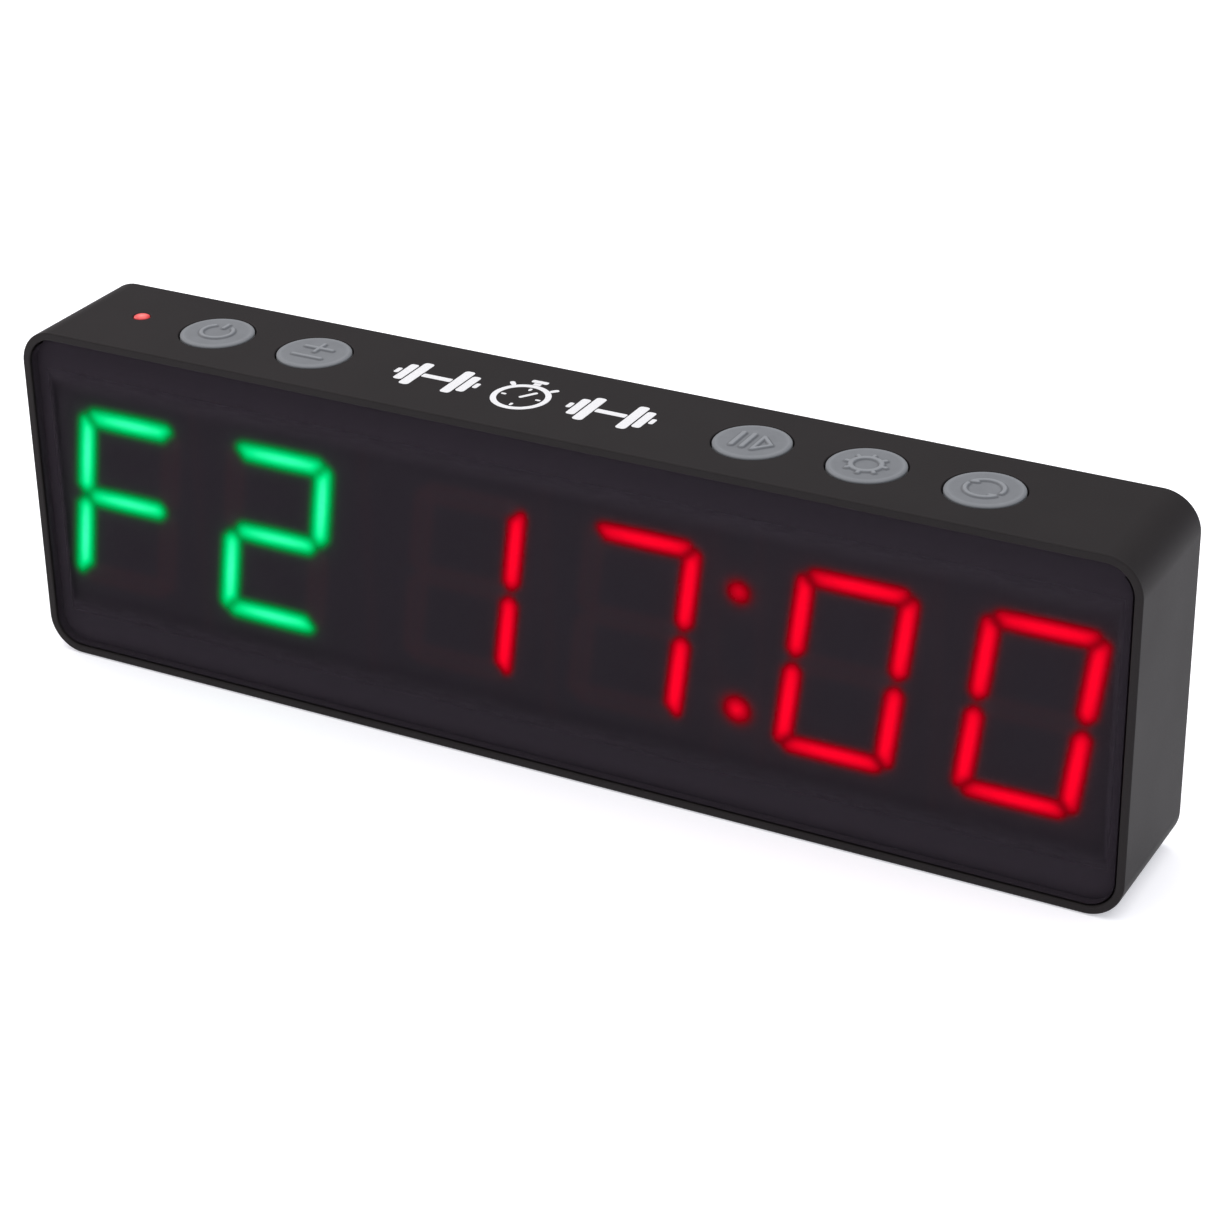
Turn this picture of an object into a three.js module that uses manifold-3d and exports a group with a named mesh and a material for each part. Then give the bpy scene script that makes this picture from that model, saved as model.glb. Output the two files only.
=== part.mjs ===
// Portable gym interval timer: a matt black sleeve with a smoked lens over six seven-segment digits,
// five push keys on the top, a flat rear cover with magnets, and the electronics it needs inside.
// Millimetres, +Z up, +X to the right of someone reading the display, -Y towards the reader.
// Origin: centre of the footprint, on the surface the timer stands on.
import * as THREE from "three";
import { mergeVertices } from "three/addons/utils/BufferGeometryUtils.js";
import Module from "manifold-3d";

const wasm = await Module();
wasm.setup();

// ---------------------------------------------------------------- driving dimensions
const WIDTH = 230; // case, left to right
const HEIGHT = 70; // case, without the keys
const DEPTH = 29; // case, front to back
const FRONT = -DEPTH / 2;
const BACK = DEPTH / 2;
const CORNER_R = 7.3; // the four long edges that run front to back
const EDGE_BREAK = 0.35; // small break round the front and back rims
const WALL = 2.0;
const RIM = 1.6; // visible rim round the lens

const LENS_GAP = 0.35;
const LENS_T = 2.0;
const LENS_SET_BACK = 0.1;
const TAPE_T = 0.5;
const FILM_T = 0.25;
const LEDGE_T = 1.5;
const LEDGE_FRONT = FRONT + LENS_SET_BACK + LENS_T + 0.1 + TAPE_T + 0.1; // -11.7
const LEDGE_BACK = LEDGE_FRONT + LEDGE_T; // -10.2
const WINDOW_W = 224.4; // clear opening behind the lens
const WINDOW_H = 58;

const COVER_T = 2.6;
const COVER_STEP = 0.7; // how far the sleeve wall is thinned for the cover
const COVER_GAP = 0.35;
const COVER_FRONT = BACK - COVER_T; // 11.9
const RECESS_FLOOR = COVER_FRONT - 0.2; // 11.7

const MID_Z = HEIGHT / 2;
const DIGIT_X = [-95.1, -60.15, -18, 18, 60.15, 95.1];
const DIGIT_Z = 34.9;
const DIGIT_W = 33;
const DIGIT_H = 47.6;
const DIGIT_FRONT = -11.1;
const DIGIT_BACK = 0.6;
const SEG_X = 9.94; // upright bars, from the digit's centre line
const SEG_Z = 17.3; // top and bottom bars, from the middle bar
const SEG_HALF = 1.75; // half a bar's width
const SEG_GAP = 0.5; // wall between two bars
const SLANT = 0.131; // tangent of the digits' lean
const COLON_X = 39.08;
const COLON_W = 7.6;
const COLON_DOT_R = 2.2;
const COLON_DOTS = [
  [0.15, 11.05],
  [-0.15, -12.85],
]; // dot centres from (COLON_X, DIGIT_Z)

const KEY_X = [-78.5, -56.3, 36.2, 58.45, 80.7];
const KEY_NAMES = [
  "power_button",
  "plus_minus_button",
  "start_pause_button",
  "settings_button",
  "cycle_button",
];
const KEY_Y = 0;
const KEY_R = 7.2;
const KEY_HOLE_R = 7.5;
const KEY_FLANGE_R = 8.3;
const KEY_PROUD = 0.6;
const KEY_TRAVEL = 0.5;
const KEY_BASE_Z = 66.9;
const SWITCH_BASE_Z = 62.6;
const SWITCH_H = 3.3;
const INDICATOR = [-96.8, 0.7];
const INDICATOR_R = 1.6;

const BUTTON_BOARD = { x0: -100.5, x1: 89.5, y0: -8.5, y1: 8.8, z0: 61.2, z1: 62.4 };
const BOARD = { x0: -110.5, x1: 110.5, y0: 0.9, y1: 2.5, z0: 3.6, z1: 59.4 };
const POST_X = [-39.1, 39.1]; // posts under the main board
const POST_Z = 6.6;

const SCREW_AT = [
  [-105, 6.4],
  [105, 6.4],
  [-105, 63.6],
  [105, 63.6],
];
const MAGNET_AT = [
  [-92, 18],
  [92, 18],
  [-92, 52],
  [92, 52],
];
const MAGNET_R = 7.7;
const USB = [34, 12];
const SPEAKER = [60, 34];
const SLOT_PITCH = 3.2;
const SLOT_W = 1.5;
const SLOT_HALF_H = [5.0, 8.2, 9.9, 10.5, 9.9, 8.2, 5.0];
const BATTERY = { x0: -72, x1: -14, y0: 3.6, y1: 11.4, z0: 15, z1: 55 };

// ---------------------------------------------------------------- outlines
const p2 = (x, y) => new THREE.Vector2(x, y);

function roundedRect(w, h, r, n = 6, cx = 0, cy = 0) {
  const out = [];
  const corners = [
    [w / 2 - r, h / 2 - r, 0],
    [-w / 2 + r, h / 2 - r, 1],
    [-w / 2 + r, -h / 2 + r, 2],
    [w / 2 - r, -h / 2 + r, 3],
  ];
  for (const [x, y, q] of corners)
    for (let i = 0; i <= n; i++) {
      const a = ((q + i / n) * Math.PI) / 2;
      out.push(p2(cx + x + r * Math.cos(a), cy + y + r * Math.sin(a)));
    }
  return out;
}

function disc(r, n, cx = 0, cy = 0, phase = 0) {
  const out = [];
  for (let i = 0; i < n; i++) {
    const a = ((i + phase) / n) * 2 * Math.PI;
    out.push(p2(cx + r * Math.cos(a), cy + r * Math.sin(a)));
  }
  return out;
}

function rect(x0, y0, x1, y1) {
  return [p2(x0, y0), p2(x1, y0), p2(x1, y1), p2(x0, y1)];
}

// A convex outline, counter-clockwise, grown outwards by d.
function grow(points, d) {
  const n = points.length;
  return points.map((p, i) => {
    const a = points[(i + n - 1) % n];
    const b = points[(i + 1) % n];
    const e1 = p.clone().sub(a).normalize();
    const e2 = b.clone().sub(p).normalize();
    const n1 = p2(e1.y, -e1.x);
    const n2 = p2(e2.y, -e2.x);
    const m = n1.clone().add(n2).normalize();
    return p.clone().addScaledVector(m, d / m.dot(n1));
  });
}

// ---------------------------------------------------------------- solids
function solid(geometry) {
  const bare = new THREE.BufferGeometry().setAttribute(
    "position",
    (geometry.index ? geometry.toNonIndexed() : geometry).getAttribute("position").clone(),
  );
  const merged = mergeVertices(bare, 1e-4);
  return new wasm.Manifold(
    new wasm.Mesh({
      numProp: 3,
      vertProperties: new Float32Array(merged.attributes.position.array),
      triVerts: new Uint32Array(merged.index.array),
    }),
  );
}

function geometryOf(manifold) {
  const m = manifold.getMesh();
  const g = new THREE.BufferGeometry();
  g.setAttribute("position", new THREE.BufferAttribute(new Float32Array(m.vertProperties), 3));
  g.setIndex(new THREE.BufferAttribute(new Uint32Array(m.triVerts), 1));
  const flat = g.toNonIndexed();
  flat.computeVertexNormals();
  return flat;
}

function extrude(points, depth, bevel = 0) {
  const shape = new THREE.Shape(points);
  if (!bevel) return new THREE.ExtrudeGeometry(shape, { depth, bevelEnabled: false });
  const g = new THREE.ExtrudeGeometry(shape, {
    depth: depth - 2 * bevel,
    bevelEnabled: true,
    bevelThickness: bevel,
    bevelSize: bevel,
    bevelOffset: -bevel,
    bevelSegments: 1,
  });
  return g.translate(0, 0, bevel);
}

// Outline in X and Z, from y0 to y1.
function alongY(points, y0, y1, bevel = 0) {
  return solid(extrude(points, y1 - y0, bevel).rotateX(Math.PI / 2).translate(0, y1, 0));
}
// Outline in X and Y, from z0 to z1.
function alongZ(points, z0, z1, bevel = 0) {
  return solid(extrude(points, z1 - z0, bevel).translate(0, 0, z0));
}
// Outline in Y and Z, from x0 to x1.
function alongX(points, x0, x1, bevel = 0) {
  const m = new THREE.Matrix4().makeBasis(
    new THREE.Vector3(0, 1, 0),
    new THREE.Vector3(0, 0, 1),
    new THREE.Vector3(1, 0, 0),
  );
  return solid(extrude(points, x1 - x0, bevel).applyMatrix4(m).translate(x0, 0, 0));
}
// Profile of [radius, height] pairs turned about Z.
function turned(profile, n) {
  return solid(new THREE.LatheGeometry(profile.map(([r, z]) => p2(r, z)), n).rotateX(Math.PI / 2));
}
function box(x0, x1, y0, y1, z0, z1) {
  return solid(
    new THREE.BoxGeometry(x1 - x0, y1 - y0, z1 - z0).translate(
      (x0 + x1) / 2,
      (y0 + y1) / 2,
      (z0 + z1) / 2,
    ),
  );
}
// The same turned profile with its axis along +Y: height becomes y.
function turnedY(profile, n) {
  const g = new THREE.LatheGeometry(profile.map(([r, y]) => p2(r, y)), n);
  return solid(g);
}
const joined = (list) => list.reduce((a, b) => a.add(b));
const cut = (a, list) => list.reduce((s, b) => s.subtract(b), a);

// ---------------------------------------------------------------- materials
const material = (color, roughness, metalness = 0, extra = {}) =>
  new THREE.MeshStandardMaterial({ color, roughness, metalness, ...extra });
const M = {
  shell: () => material(0x2b2a2b, 0.62),
  lens: () => material(0x29272a, 0.22, 0, { transparent: true, opacity: 0.72 }),
  tape: () => material(0x111111, 0.8),
  film: () => material(0x3a3638, 0.7, 0, { transparent: true, opacity: 0.35 }),
  silicone: () => material(0x83888e, 0.55),
  red: () => material(0xf01030, 0.4, 0, { emissive: 0xd90d2b }),
  green: () => material(0x10e080, 0.4, 0, { emissive: 0x0fda7d }),
  digitCase: () => material(0x1b1b1c, 0.6),
  board: () => material(0x0f4d2c, 0.45),
  chip: () => material(0x17181a, 0.5),
  switchBody: () => material(0x1d1d1f, 0.5),
  switchPlunger: () => material(0xb0a48a, 0.5),
  steel: () => material(0x9a9ca0, 0.35, 1),
  magnet: () => material(0xb9bcc0, 0.25, 1),
  cell: () => material(0xaeb2b8, 0.35, 0.6),
  connector: () => material(0xe8e4d8, 0.5),
  wire: () => material(0xa01818, 0.5),
  ribbon: () => material(0xe6e6e2, 0.5),
  cone: () => material(0x1a1a1b, 0.7),
  gasket: () => material(0x101010, 0.9),
};

// ---------------------------------------------------------------- assembly
const timer = new THREE.Group();
const caseGroup = new THREE.Group();
const displayGroup = new THREE.Group();
const keyGroup = new THREE.Group();
const powerGroup = new THREE.Group();
timer.add(caseGroup, displayGroup, keyGroup, powerGroup);

function place(group, name, body, mat, x = 0, y = 0, z = 0) {
  const mesh = new THREE.Mesh(body.isBufferGeometry ? body : geometryOf(body), mat);
  mesh.name = name;
  mesh.position.set(x, y, z);
  group.add(mesh);
  return mesh;
}

// ---------------------------------------------------------------- front housing
{
  const at = (w, h, r, n = 6) => roundedRect(w, h, r, n, 0, MID_Z);
  const outer = alongY(at(WIDTH, HEIGHT, CORNER_R, 8), FRONT, BACK, EDGE_BREAK);
  const pocketW = WIDTH - 2 * RIM;
  const pocketH = HEIGHT - 2 * RIM;
  const lensPocket = alongY(at(pocketW, pocketH, CORNER_R - RIM, 6), FRONT - 1, LEDGE_FRONT);
  const window_ = alongY(at(WINDOW_W, WINDOW_H, 3, 3), FRONT, LEDGE_BACK + 1);
  const cavity = alongY(
    at(WIDTH - 2 * WALL, HEIGHT - 2 * WALL, CORNER_R - WALL, 6),
    LEDGE_BACK,
    RECESS_FLOOR + 0.5,
  );
  const recess = alongY(
    at(WIDTH - 2 * (WALL - COVER_STEP), HEIGHT - 2 * (WALL - COVER_STEP), CORNER_R - WALL + COVER_STEP, 6),
    RECESS_FLOOR,
    BACK + 1,
  );
  let housing = cut(outer, [lensPocket, window_, cavity, recess]);

  // Screw posts in the four corners, each webbed to the nearest long wall.
  for (const [x, z] of SCREW_AT) {
    const wallZ = z < MID_Z ? 1 : HEIGHT - 1;
    const post = alongY(disc(3.3, 12, x, z), 3.4, RECESS_FLOOR - 0.1).add(
      box(x - 3.3, x + 3.3, 3.4, RECESS_FLOOR - 0.1, Math.min(z, wallZ), Math.max(z, wallZ)),
    );
    housing = housing.add(post).subtract(alongY(disc(1.45, 10, x, z), 4.4, BACK));
  }
  // Two posts that carry the main board.
  for (const x of POST_X) {
    const post = alongY(disc(2.9, 12, x, POST_Z), LEDGE_BACK - 0.5, BOARD.y0 - 0.15).add(
      box(x - 2.9, x + 2.9, LEDGE_BACK - 0.5, BOARD.y0 - 0.15, 1, POST_Z),
    );
    housing = housing.add(post).subtract(alongY(disc(1.25, 10, x, POST_Z), -5.6, BOARD.y0 + 1));
  }
  // Hooks that hold the two ends of the key board.
  const b = BUTTON_BOARD;
  for (const side of [-1, 1]) {
    const end = side < 0 ? b.x0 : b.x1;
    const leg = [end + side * 0.3, end + side * 2.3].sort((p, q) => p - q);
    const foot = [end - side * 1.6, end + side * 2.3].sort((p, q) => p - q);
    housing = housing
      .add(box(leg[0], leg[1], -5, 2.5, b.z0 - 1.3, HEIGHT - 1))
      .add(box(foot[0], foot[1], -5, 2.5, b.z0 - 1.3, b.z0 - 0.25));
  }
  // Key holes and the indicator hole.
  for (const x of KEY_X)
    housing = housing.subtract(alongZ(disc(KEY_HOLE_R, 28, x, KEY_Y), HEIGHT - WALL - 1, HEIGHT + 1));
  housing = housing.subtract(
    alongZ(disc(INDICATOR_R + 0.15, 16, INDICATOR[0], INDICATOR[1]), HEIGHT - WALL - 1, HEIGHT + 1),
  );
  place(caseGroup, "front_housing", housing, M.shell());
}

// ---------------------------------------------------------------- lens and its tape
{
  const w = WIDTH - 2 * RIM - 2 * LENS_GAP;
  const h = HEIGHT - 2 * RIM - 2 * LENS_GAP;
  const y0 = FRONT + LENS_SET_BACK;
  place(
    caseGroup,
    "front_lens",
    alongY(roundedRect(w, h, CORNER_R - RIM - LENS_GAP, 6, 0, MID_Z), y0, y0 + LENS_T, 0.15),
    M.lens(),
  );
  const t0 = y0 + LENS_T + 0.1;
  const tape = cut(alongY(roundedRect(w - 0.1, h - 0.1, CORNER_R - RIM - LENS_GAP, 6, 0, MID_Z), t0, t0 + TAPE_T), [
    alongY(roundedRect(WINDOW_W + 0.3, WINDOW_H + 0.6, 3, 3, 0, MID_Z), t0 - 1, t0 + TAPE_T + 1),
  ]);
  place(caseGroup, "lens_tape", tape, M.tape());
}

// ---------------------------------------------------------------- diffuser film, lying on the digits' faces
place(
  displayGroup,
  "diffuser_film",
  alongY(
    roundedRect(WINDOW_W - 1, WINDOW_H - 1, 2.5, 3, 0, MID_Z),
    DIGIT_FRONT - 0.1 - FILM_T,
    DIGIT_FRONT - 0.1,
  ),
  M.film(),
);

// ---------------------------------------------------------------- rear cover
{
  const w = WIDTH - 2 * (WALL - COVER_STEP) - 2 * COVER_GAP;
  const h = HEIGHT - 2 * (WALL - COVER_STEP) - 2 * COVER_GAP;
  let cover = alongY(
    roundedRect(w, h, CORNER_R - WALL + COVER_STEP - COVER_GAP, 6, 0, MID_Z),
    COVER_FRONT,
    BACK,
    0.2,
  );
  for (const [x, z] of SCREW_AT)
    cover = cut(cover, [
      alongY(disc(1.6, 12, x, z), COVER_FRONT - 1, BACK + 1),
      alongY(disc(2.9, 16, x, z), BACK - 1.7, BACK + 1),
    ]);
  for (const [x, z] of MAGNET_AT)
    cover = cover.subtract(alongY(disc(MAGNET_R + 0.3, 26, x, z), BACK - 1.8, BACK + 1));
  cover = cover.subtract(
    alongY(roundedRect(9.7, 4.0, 1.98, 4, USB[0], USB[1]), COVER_FRONT - 1, BACK + 1),
  );
  SLOT_HALF_H.forEach((half, i) => {
    const x = SPEAKER[0] + (i - 3) * SLOT_PITCH;
    cover = cover.subtract(
      alongY(
        roundedRect(SLOT_W, 2 * half, SLOT_W / 2 - 0.01, 1, x, SPEAKER[1]),
        COVER_FRONT - 1,
        BACK + 1,
      ),
    );
  });
  place(caseGroup, "rear_cover", cover, M.shell());
}

// ---------------------------------------------------------------- fasteners and magnets
{
  const head = turnedY(
    [
      [0, 0],
      [1.3, 0],
      [1.3, 8.4],
      [2.6, 8.4],
      [2.6, 9.3],
      [2.1, 9.8],
      [0, 9.8],
    ],
    14,
  );
  const cross = box(-1.4, 1.4, 9.0, 10.5, -0.35, 0.35).add(box(-0.35, 0.35, 9.0, 10.5, -1.4, 1.4));
  const screw = geometryOf(head.subtract(cross));
  SCREW_AT.forEach(([x, z], i) =>
    place(caseGroup, "cover_screw_" + (i + 1), screw, M.steel(), x, BACK - 0.1 - 9.8, z),
  );
  const boardHead = turnedY(
    [
      [0, 0],
      [1.1, 0],
      [1.1, 7.4],
      [2.3, 7.4],
      [2.3, 8.3],
      [1.9, 8.7],
      [0, 8.7],
    ],
    14,
  );
  const boardCross = box(-1.2, 1.2, 8.0, 9.5, -0.3, 0.3).add(box(-0.3, 0.3, 8.0, 9.5, -1.2, 1.2));
  const boardScrew = geometryOf(boardHead.subtract(boardCross));
  POST_X.forEach((x, i) =>
    place(displayGroup, "board_screw_" + (i + 1), boardScrew, M.steel(), x, BOARD.y1 + 0.15 - 7.4, POST_Z),
  );
  const magnet = geometryOf(
    turnedY(
      [
        [0, 0],
        [MAGNET_R, 0],
        [MAGNET_R, 1.3],
        [MAGNET_R - 0.2, 1.5],
        [0, 1.5],
      ],
      26,
    ),
  );
  MAGNET_AT.forEach(([x, z], i) =>
    place(caseGroup, "magnet_" + (i + 1), magnet, M.magnet(), x, BACK - 0.2 - 1.5, z),
  );
}

// ---------------------------------------------------------------- digits
// Seven bar outlines about the digit's centre, upright; lean() shears them.
const lean = (points) => points.map((p) => p2(p.x + SLANT * p.y, p.y));
function barOutlines() {
  const s = SEG_HALF;
  const g = SEG_GAP * Math.SQRT1_2; // half the wall, measured along x or z at a 45 degree mitre
  const k = SEG_Z - SEG_X; // the mitre line is z = x + k
  const top = [
    p2(-(SEG_Z - s - k - g), SEG_Z - s),
    p2(SEG_Z - s - k - g, SEG_Z - s),
    p2(SEG_X + 0.55 - g / 2, SEG_Z + 0.55 + g / 2),
    p2(SEG_X + 0.3, SEG_Z + s - 0.35),
    p2(SEG_X - 0.5, SEG_Z + s),
    p2(-(SEG_X - 0.5), SEG_Z + s),
    p2(-(SEG_X + 0.3), SEG_Z + s - 0.35),
    p2(-(SEG_X + 0.55 - g / 2), SEG_Z + 0.55 + g / 2),
  ];
  const middle = [
    p2(-(SEG_X - s - g), -s + 0.05),
    p2(SEG_X - s - g, -s + 0.05),
    p2(SEG_X - 0.45 - g, -0.4),
    p2(SEG_X - 0.45 - g, 0.4),
    p2(SEG_X - s - g, s - 0.05),
    p2(-(SEG_X - s - g), s - 0.05),
    p2(-(SEG_X - 0.45 - g), 0.4),
    p2(-(SEG_X - 0.45 - g), -0.4),
  ];
  const upright = [
    p2(SEG_X - s, s + g + 0.1),
    p2(SEG_X - 0.45, 0.3 + g),
    p2(SEG_X + 0.45, 0.3 + g),
    p2(SEG_X + s, s + g + 0.1),
    p2(SEG_X + s, SEG_Z - 0.6),
    p2(SEG_X + s - 0.35, SEG_Z + 0.25),
    p2(SEG_X + 0.55 + g / 2, SEG_Z + 0.55 - g / 2),
    p2(SEG_X - s, SEG_Z - s - g),
  ];
  const flipX = (q) => q.map((p) => p2(-p.x, p.y)).reverse();
  const flipZ = (q) => q.map((p) => p2(p.x, -p.y)).reverse();
  return {
    a: top,
    b: upright,
    c: flipZ(upright),
    d: flipZ(top),
    e: flipZ(flipX(upright)),
    f: flipX(upright),
    g: middle,
  };
}
{
  const bars = Object.values(barOutlines()).map(lean);
  const wallBack = DIGIT_FRONT + 2.5;
  const shellBox = alongY(roundedRect(DIGIT_W, DIGIT_H, 0.6, 1), DIGIT_FRONT, DIGIT_BACK);
  const pocket = alongY(roundedRect(DIGIT_W - 2.6, DIGIT_H - 2.6, 0.6, 1), wallBack, DIGIT_BACK + 1);
  const digitCase = geometryOf(
    cut(shellBox, [pocket, ...bars.map((q) => alongY(grow(q, 0.1), DIGIT_FRONT - 1, wallBack + 0.5))]),
  );
  const fill = alongY(roundedRect(DIGIT_W - 3.0, DIGIT_H - 3.0, 0.6, 1), wallBack + 0.2, DIGIT_BACK - 0.8);
  const digitFill = geometryOf(
    joined([fill, ...bars.map((q) => alongY(q, DIGIT_FRONT + 0.05, wallBack + 1))]),
  );
  DIGIT_X.forEach((x, i) => {
    place(displayGroup, "digit_" + (i + 1) + "_case", digitCase, M.digitCase(), x, 0, DIGIT_Z);
    place(
      displayGroup,
      "digit_" + (i + 1) + "_segments",
      digitFill,
      i < 2 ? M.green() : M.red(),
      x,
      0,
      DIGIT_Z,
    );
  });

  const colonBox = alongY(rect(-COLON_W / 2, -DIGIT_H / 2, COLON_W / 2, DIGIT_H / 2), DIGIT_FRONT, DIGIT_BACK);
  const colonPocket = alongY(
    rect(-COLON_W / 2 + 1, -DIGIT_H / 2 + 1, COLON_W / 2 - 1, DIGIT_H / 2 - 1),
    wallBack,
    DIGIT_BACK + 1,
  );
  const dots = (r, y0, y1) => COLON_DOTS.map(([x, z]) => alongY(disc(r, 20, x, z), y0, y1));
  place(
    displayGroup,
    "colon_case",
    cut(colonBox, [colonPocket, ...dots(COLON_DOT_R + 0.1, DIGIT_FRONT - 1, wallBack + 0.5)]),
    M.digitCase(),
    COLON_X,
    0,
    DIGIT_Z,
  );
  place(
    displayGroup,
    "colon_dots",
    joined([
      alongY(
        rect(-COLON_W / 2 + 1.2, -DIGIT_H / 2 + 1.2, COLON_W / 2 - 1.2, DIGIT_H / 2 - 1.2),
        wallBack + 0.2,
        DIGIT_BACK - 0.8,
      ),
      ...dots(COLON_DOT_R, DIGIT_FRONT + 0.05, wallBack + 1),
    ]),
    M.red(),
    COLON_X,
    0,
    DIGIT_Z,
  );
}

// ---------------------------------------------------------------- main board and its chips
{
  const b = BOARD;
  let board = alongY(
    roundedRect(b.x1 - b.x0, b.z1 - b.z0, 2, 3, (b.x0 + b.x1) / 2, (b.z0 + b.z1) / 2),
    b.y0,
    b.y1,
  );
  for (const x of POST_X) board = board.subtract(alongY(disc(1.4, 14, x, POST_Z), b.y0 - 1, b.y1 + 1));
  place(displayGroup, "display_board", board, M.board());

  // Quad flat package with a pin strip down each side.
  const y = b.y1 + 0.15;
  const qfp = joined([
    alongY(roundedRect(10, 10, 0.5, 1), y + 0.1, y + 1.5, 0.15),
    alongY(rect(-5.9, -4.2, 5.9, 4.2), y, y + 0.5),
    alongY(rect(-4.2, -5.9, 4.2, 5.9), y, y + 0.5),
  ]);
  place(displayGroup, "control_chip", qfp, M.chip(), 20, 0, 36);
  const sop = joined([
    alongY(roundedRect(17.9, 7.5, 0.4, 1), y + 0.1, y + 2.3, 0.2),
    alongY(rect(-8.4, -5.1, 8.4, 5.1), y, y + 0.6),
  ]);
  place(displayGroup, "driver_chip", sop, M.chip(), -90, 0, 34);
}

// ---------------------------------------------------------------- keys, switches and indicator
{
  const top = HEIGHT + KEY_PROUD;
  const key = geometryOf(
    turned(
      [
        [0, KEY_BASE_Z],
        [2.4, KEY_BASE_Z],
        [2.4, 68.5],
        [6.1, 68.5],
        [6.1, KEY_BASE_Z],
        [KEY_FLANGE_R, KEY_BASE_Z],
        [KEY_FLANGE_R, KEY_BASE_Z + 0.8],
        [KEY_R, KEY_BASE_Z + 0.8],
        [KEY_R, top - 0.45],
        [KEY_R - 0.13, top - 0.14],
        [KEY_R - 0.45, top],
        [0, top],
      ],
      26,
    ),
  );
  const bodySolid = box(-3, 3, -3, 3, SWITCH_BASE_Z, SWITCH_BASE_Z + SWITCH_H - 0.3)
    .add(box(-2.7, 2.7, -2.7, 2.7, SWITCH_BASE_Z, SWITCH_BASE_Z + SWITCH_H))
    .add(box(-4.2, 4.2, -2.6, -1.9, SWITCH_BASE_Z, SWITCH_BASE_Z + 0.4))
    .add(box(-4.2, 4.2, 1.9, 2.6, SWITCH_BASE_Z, SWITCH_BASE_Z + 0.4))
    .subtract(alongZ(disc(1.95, 16), SWITCH_BASE_Z + 1.6, SWITCH_BASE_Z + SWITCH_H + 1));
  const switchBody = geometryOf(bodySolid);
  const plunger = geometryOf(
    turned(
      [
        [0, SWITCH_BASE_Z + 1.8 + KEY_TRAVEL],
        [1.75, SWITCH_BASE_Z + 1.8 + KEY_TRAVEL],
        [1.75, KEY_BASE_Z - 0.35],
        [1.6, KEY_BASE_Z - 0.2],
        [0, KEY_BASE_Z - 0.2],
      ],
      16,
    ),
  );
  KEY_X.forEach((x, i) => {
    place(keyGroup, KEY_NAMES[i], key, M.silicone(), x, KEY_Y, 0);
    place(keyGroup, "switch_body_" + (i + 1), switchBody, M.switchBody(), x, KEY_Y, 0);
    place(keyGroup, "switch_plunger_" + (i + 1), plunger, M.switchPlunger(), x, KEY_Y, 0);
  });

  const b = BUTTON_BOARD;
  place(keyGroup, "button_board", box(b.x0, b.x1, b.y0, b.y1, b.z0, b.z1), M.board());
  place(
    keyGroup,
    "indicator_light_pipe",
    turned(
      [
        [0, 64.3],
        [1.3, 64.3],
        [1.3, 66.8],
        [2.6, 66.8],
        [2.6, 67.7],
        [INDICATOR_R, 67.7],
        [INDICATOR_R, HEIGHT - 0.05],
        [INDICATOR_R - 0.25, HEIGHT + 0.1],
        [0, HEIGHT + 0.15],
      ],
      16,
    ),
    M.red(),
    INDICATOR[0],
    INDICATOR[1],
    0,
  );
  place(
    keyGroup,
    "indicator_led",
    box(-1.6, 1.6, -0.8, 0.8, b.z1 + 0.15, b.z1 + 0.55).add(
      box(-1.0, 1.0, -0.7, 0.7, b.z1 + 0.15, b.z1 + 1.2),
    ),
    M.connector(),
    INDICATOR[0],
    INDICATOR[1],
    0,
  );

  // Flat flex from the key board's underside down to the back of the main board, in Y and Z.
  const line = [
    [4.6, 60.9],
    [8.2, 60.9],
    [9.2, 60.4],
    [9.6, 59.4],
    [9.6, 54.5],
    [9.2, 52.6],
    [8.0, 51.0],
    [5.0, 48.4],
    [3.5, 46.6],
    [3.0, 44.6],
    [3.0, 40.5],
  ];
  const half = 0.15;
  const left = [];
  const right = [];
  line.forEach(([y, z], i) => {
    const a = line[Math.max(0, i - 1)];
    const c = line[Math.min(line.length - 1, i + 1)];
    const t = p2(c[0] - a[0], c[1] - a[1]).normalize();
    left.push(p2(y - t.y * half, z + t.x * half));
    right.push(p2(y + t.y * half, z - t.x * half));
  });
  place(keyGroup, "button_ribbon", alongX([...right, ...left.reverse()], 0, 10), M.ribbon());
}

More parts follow.
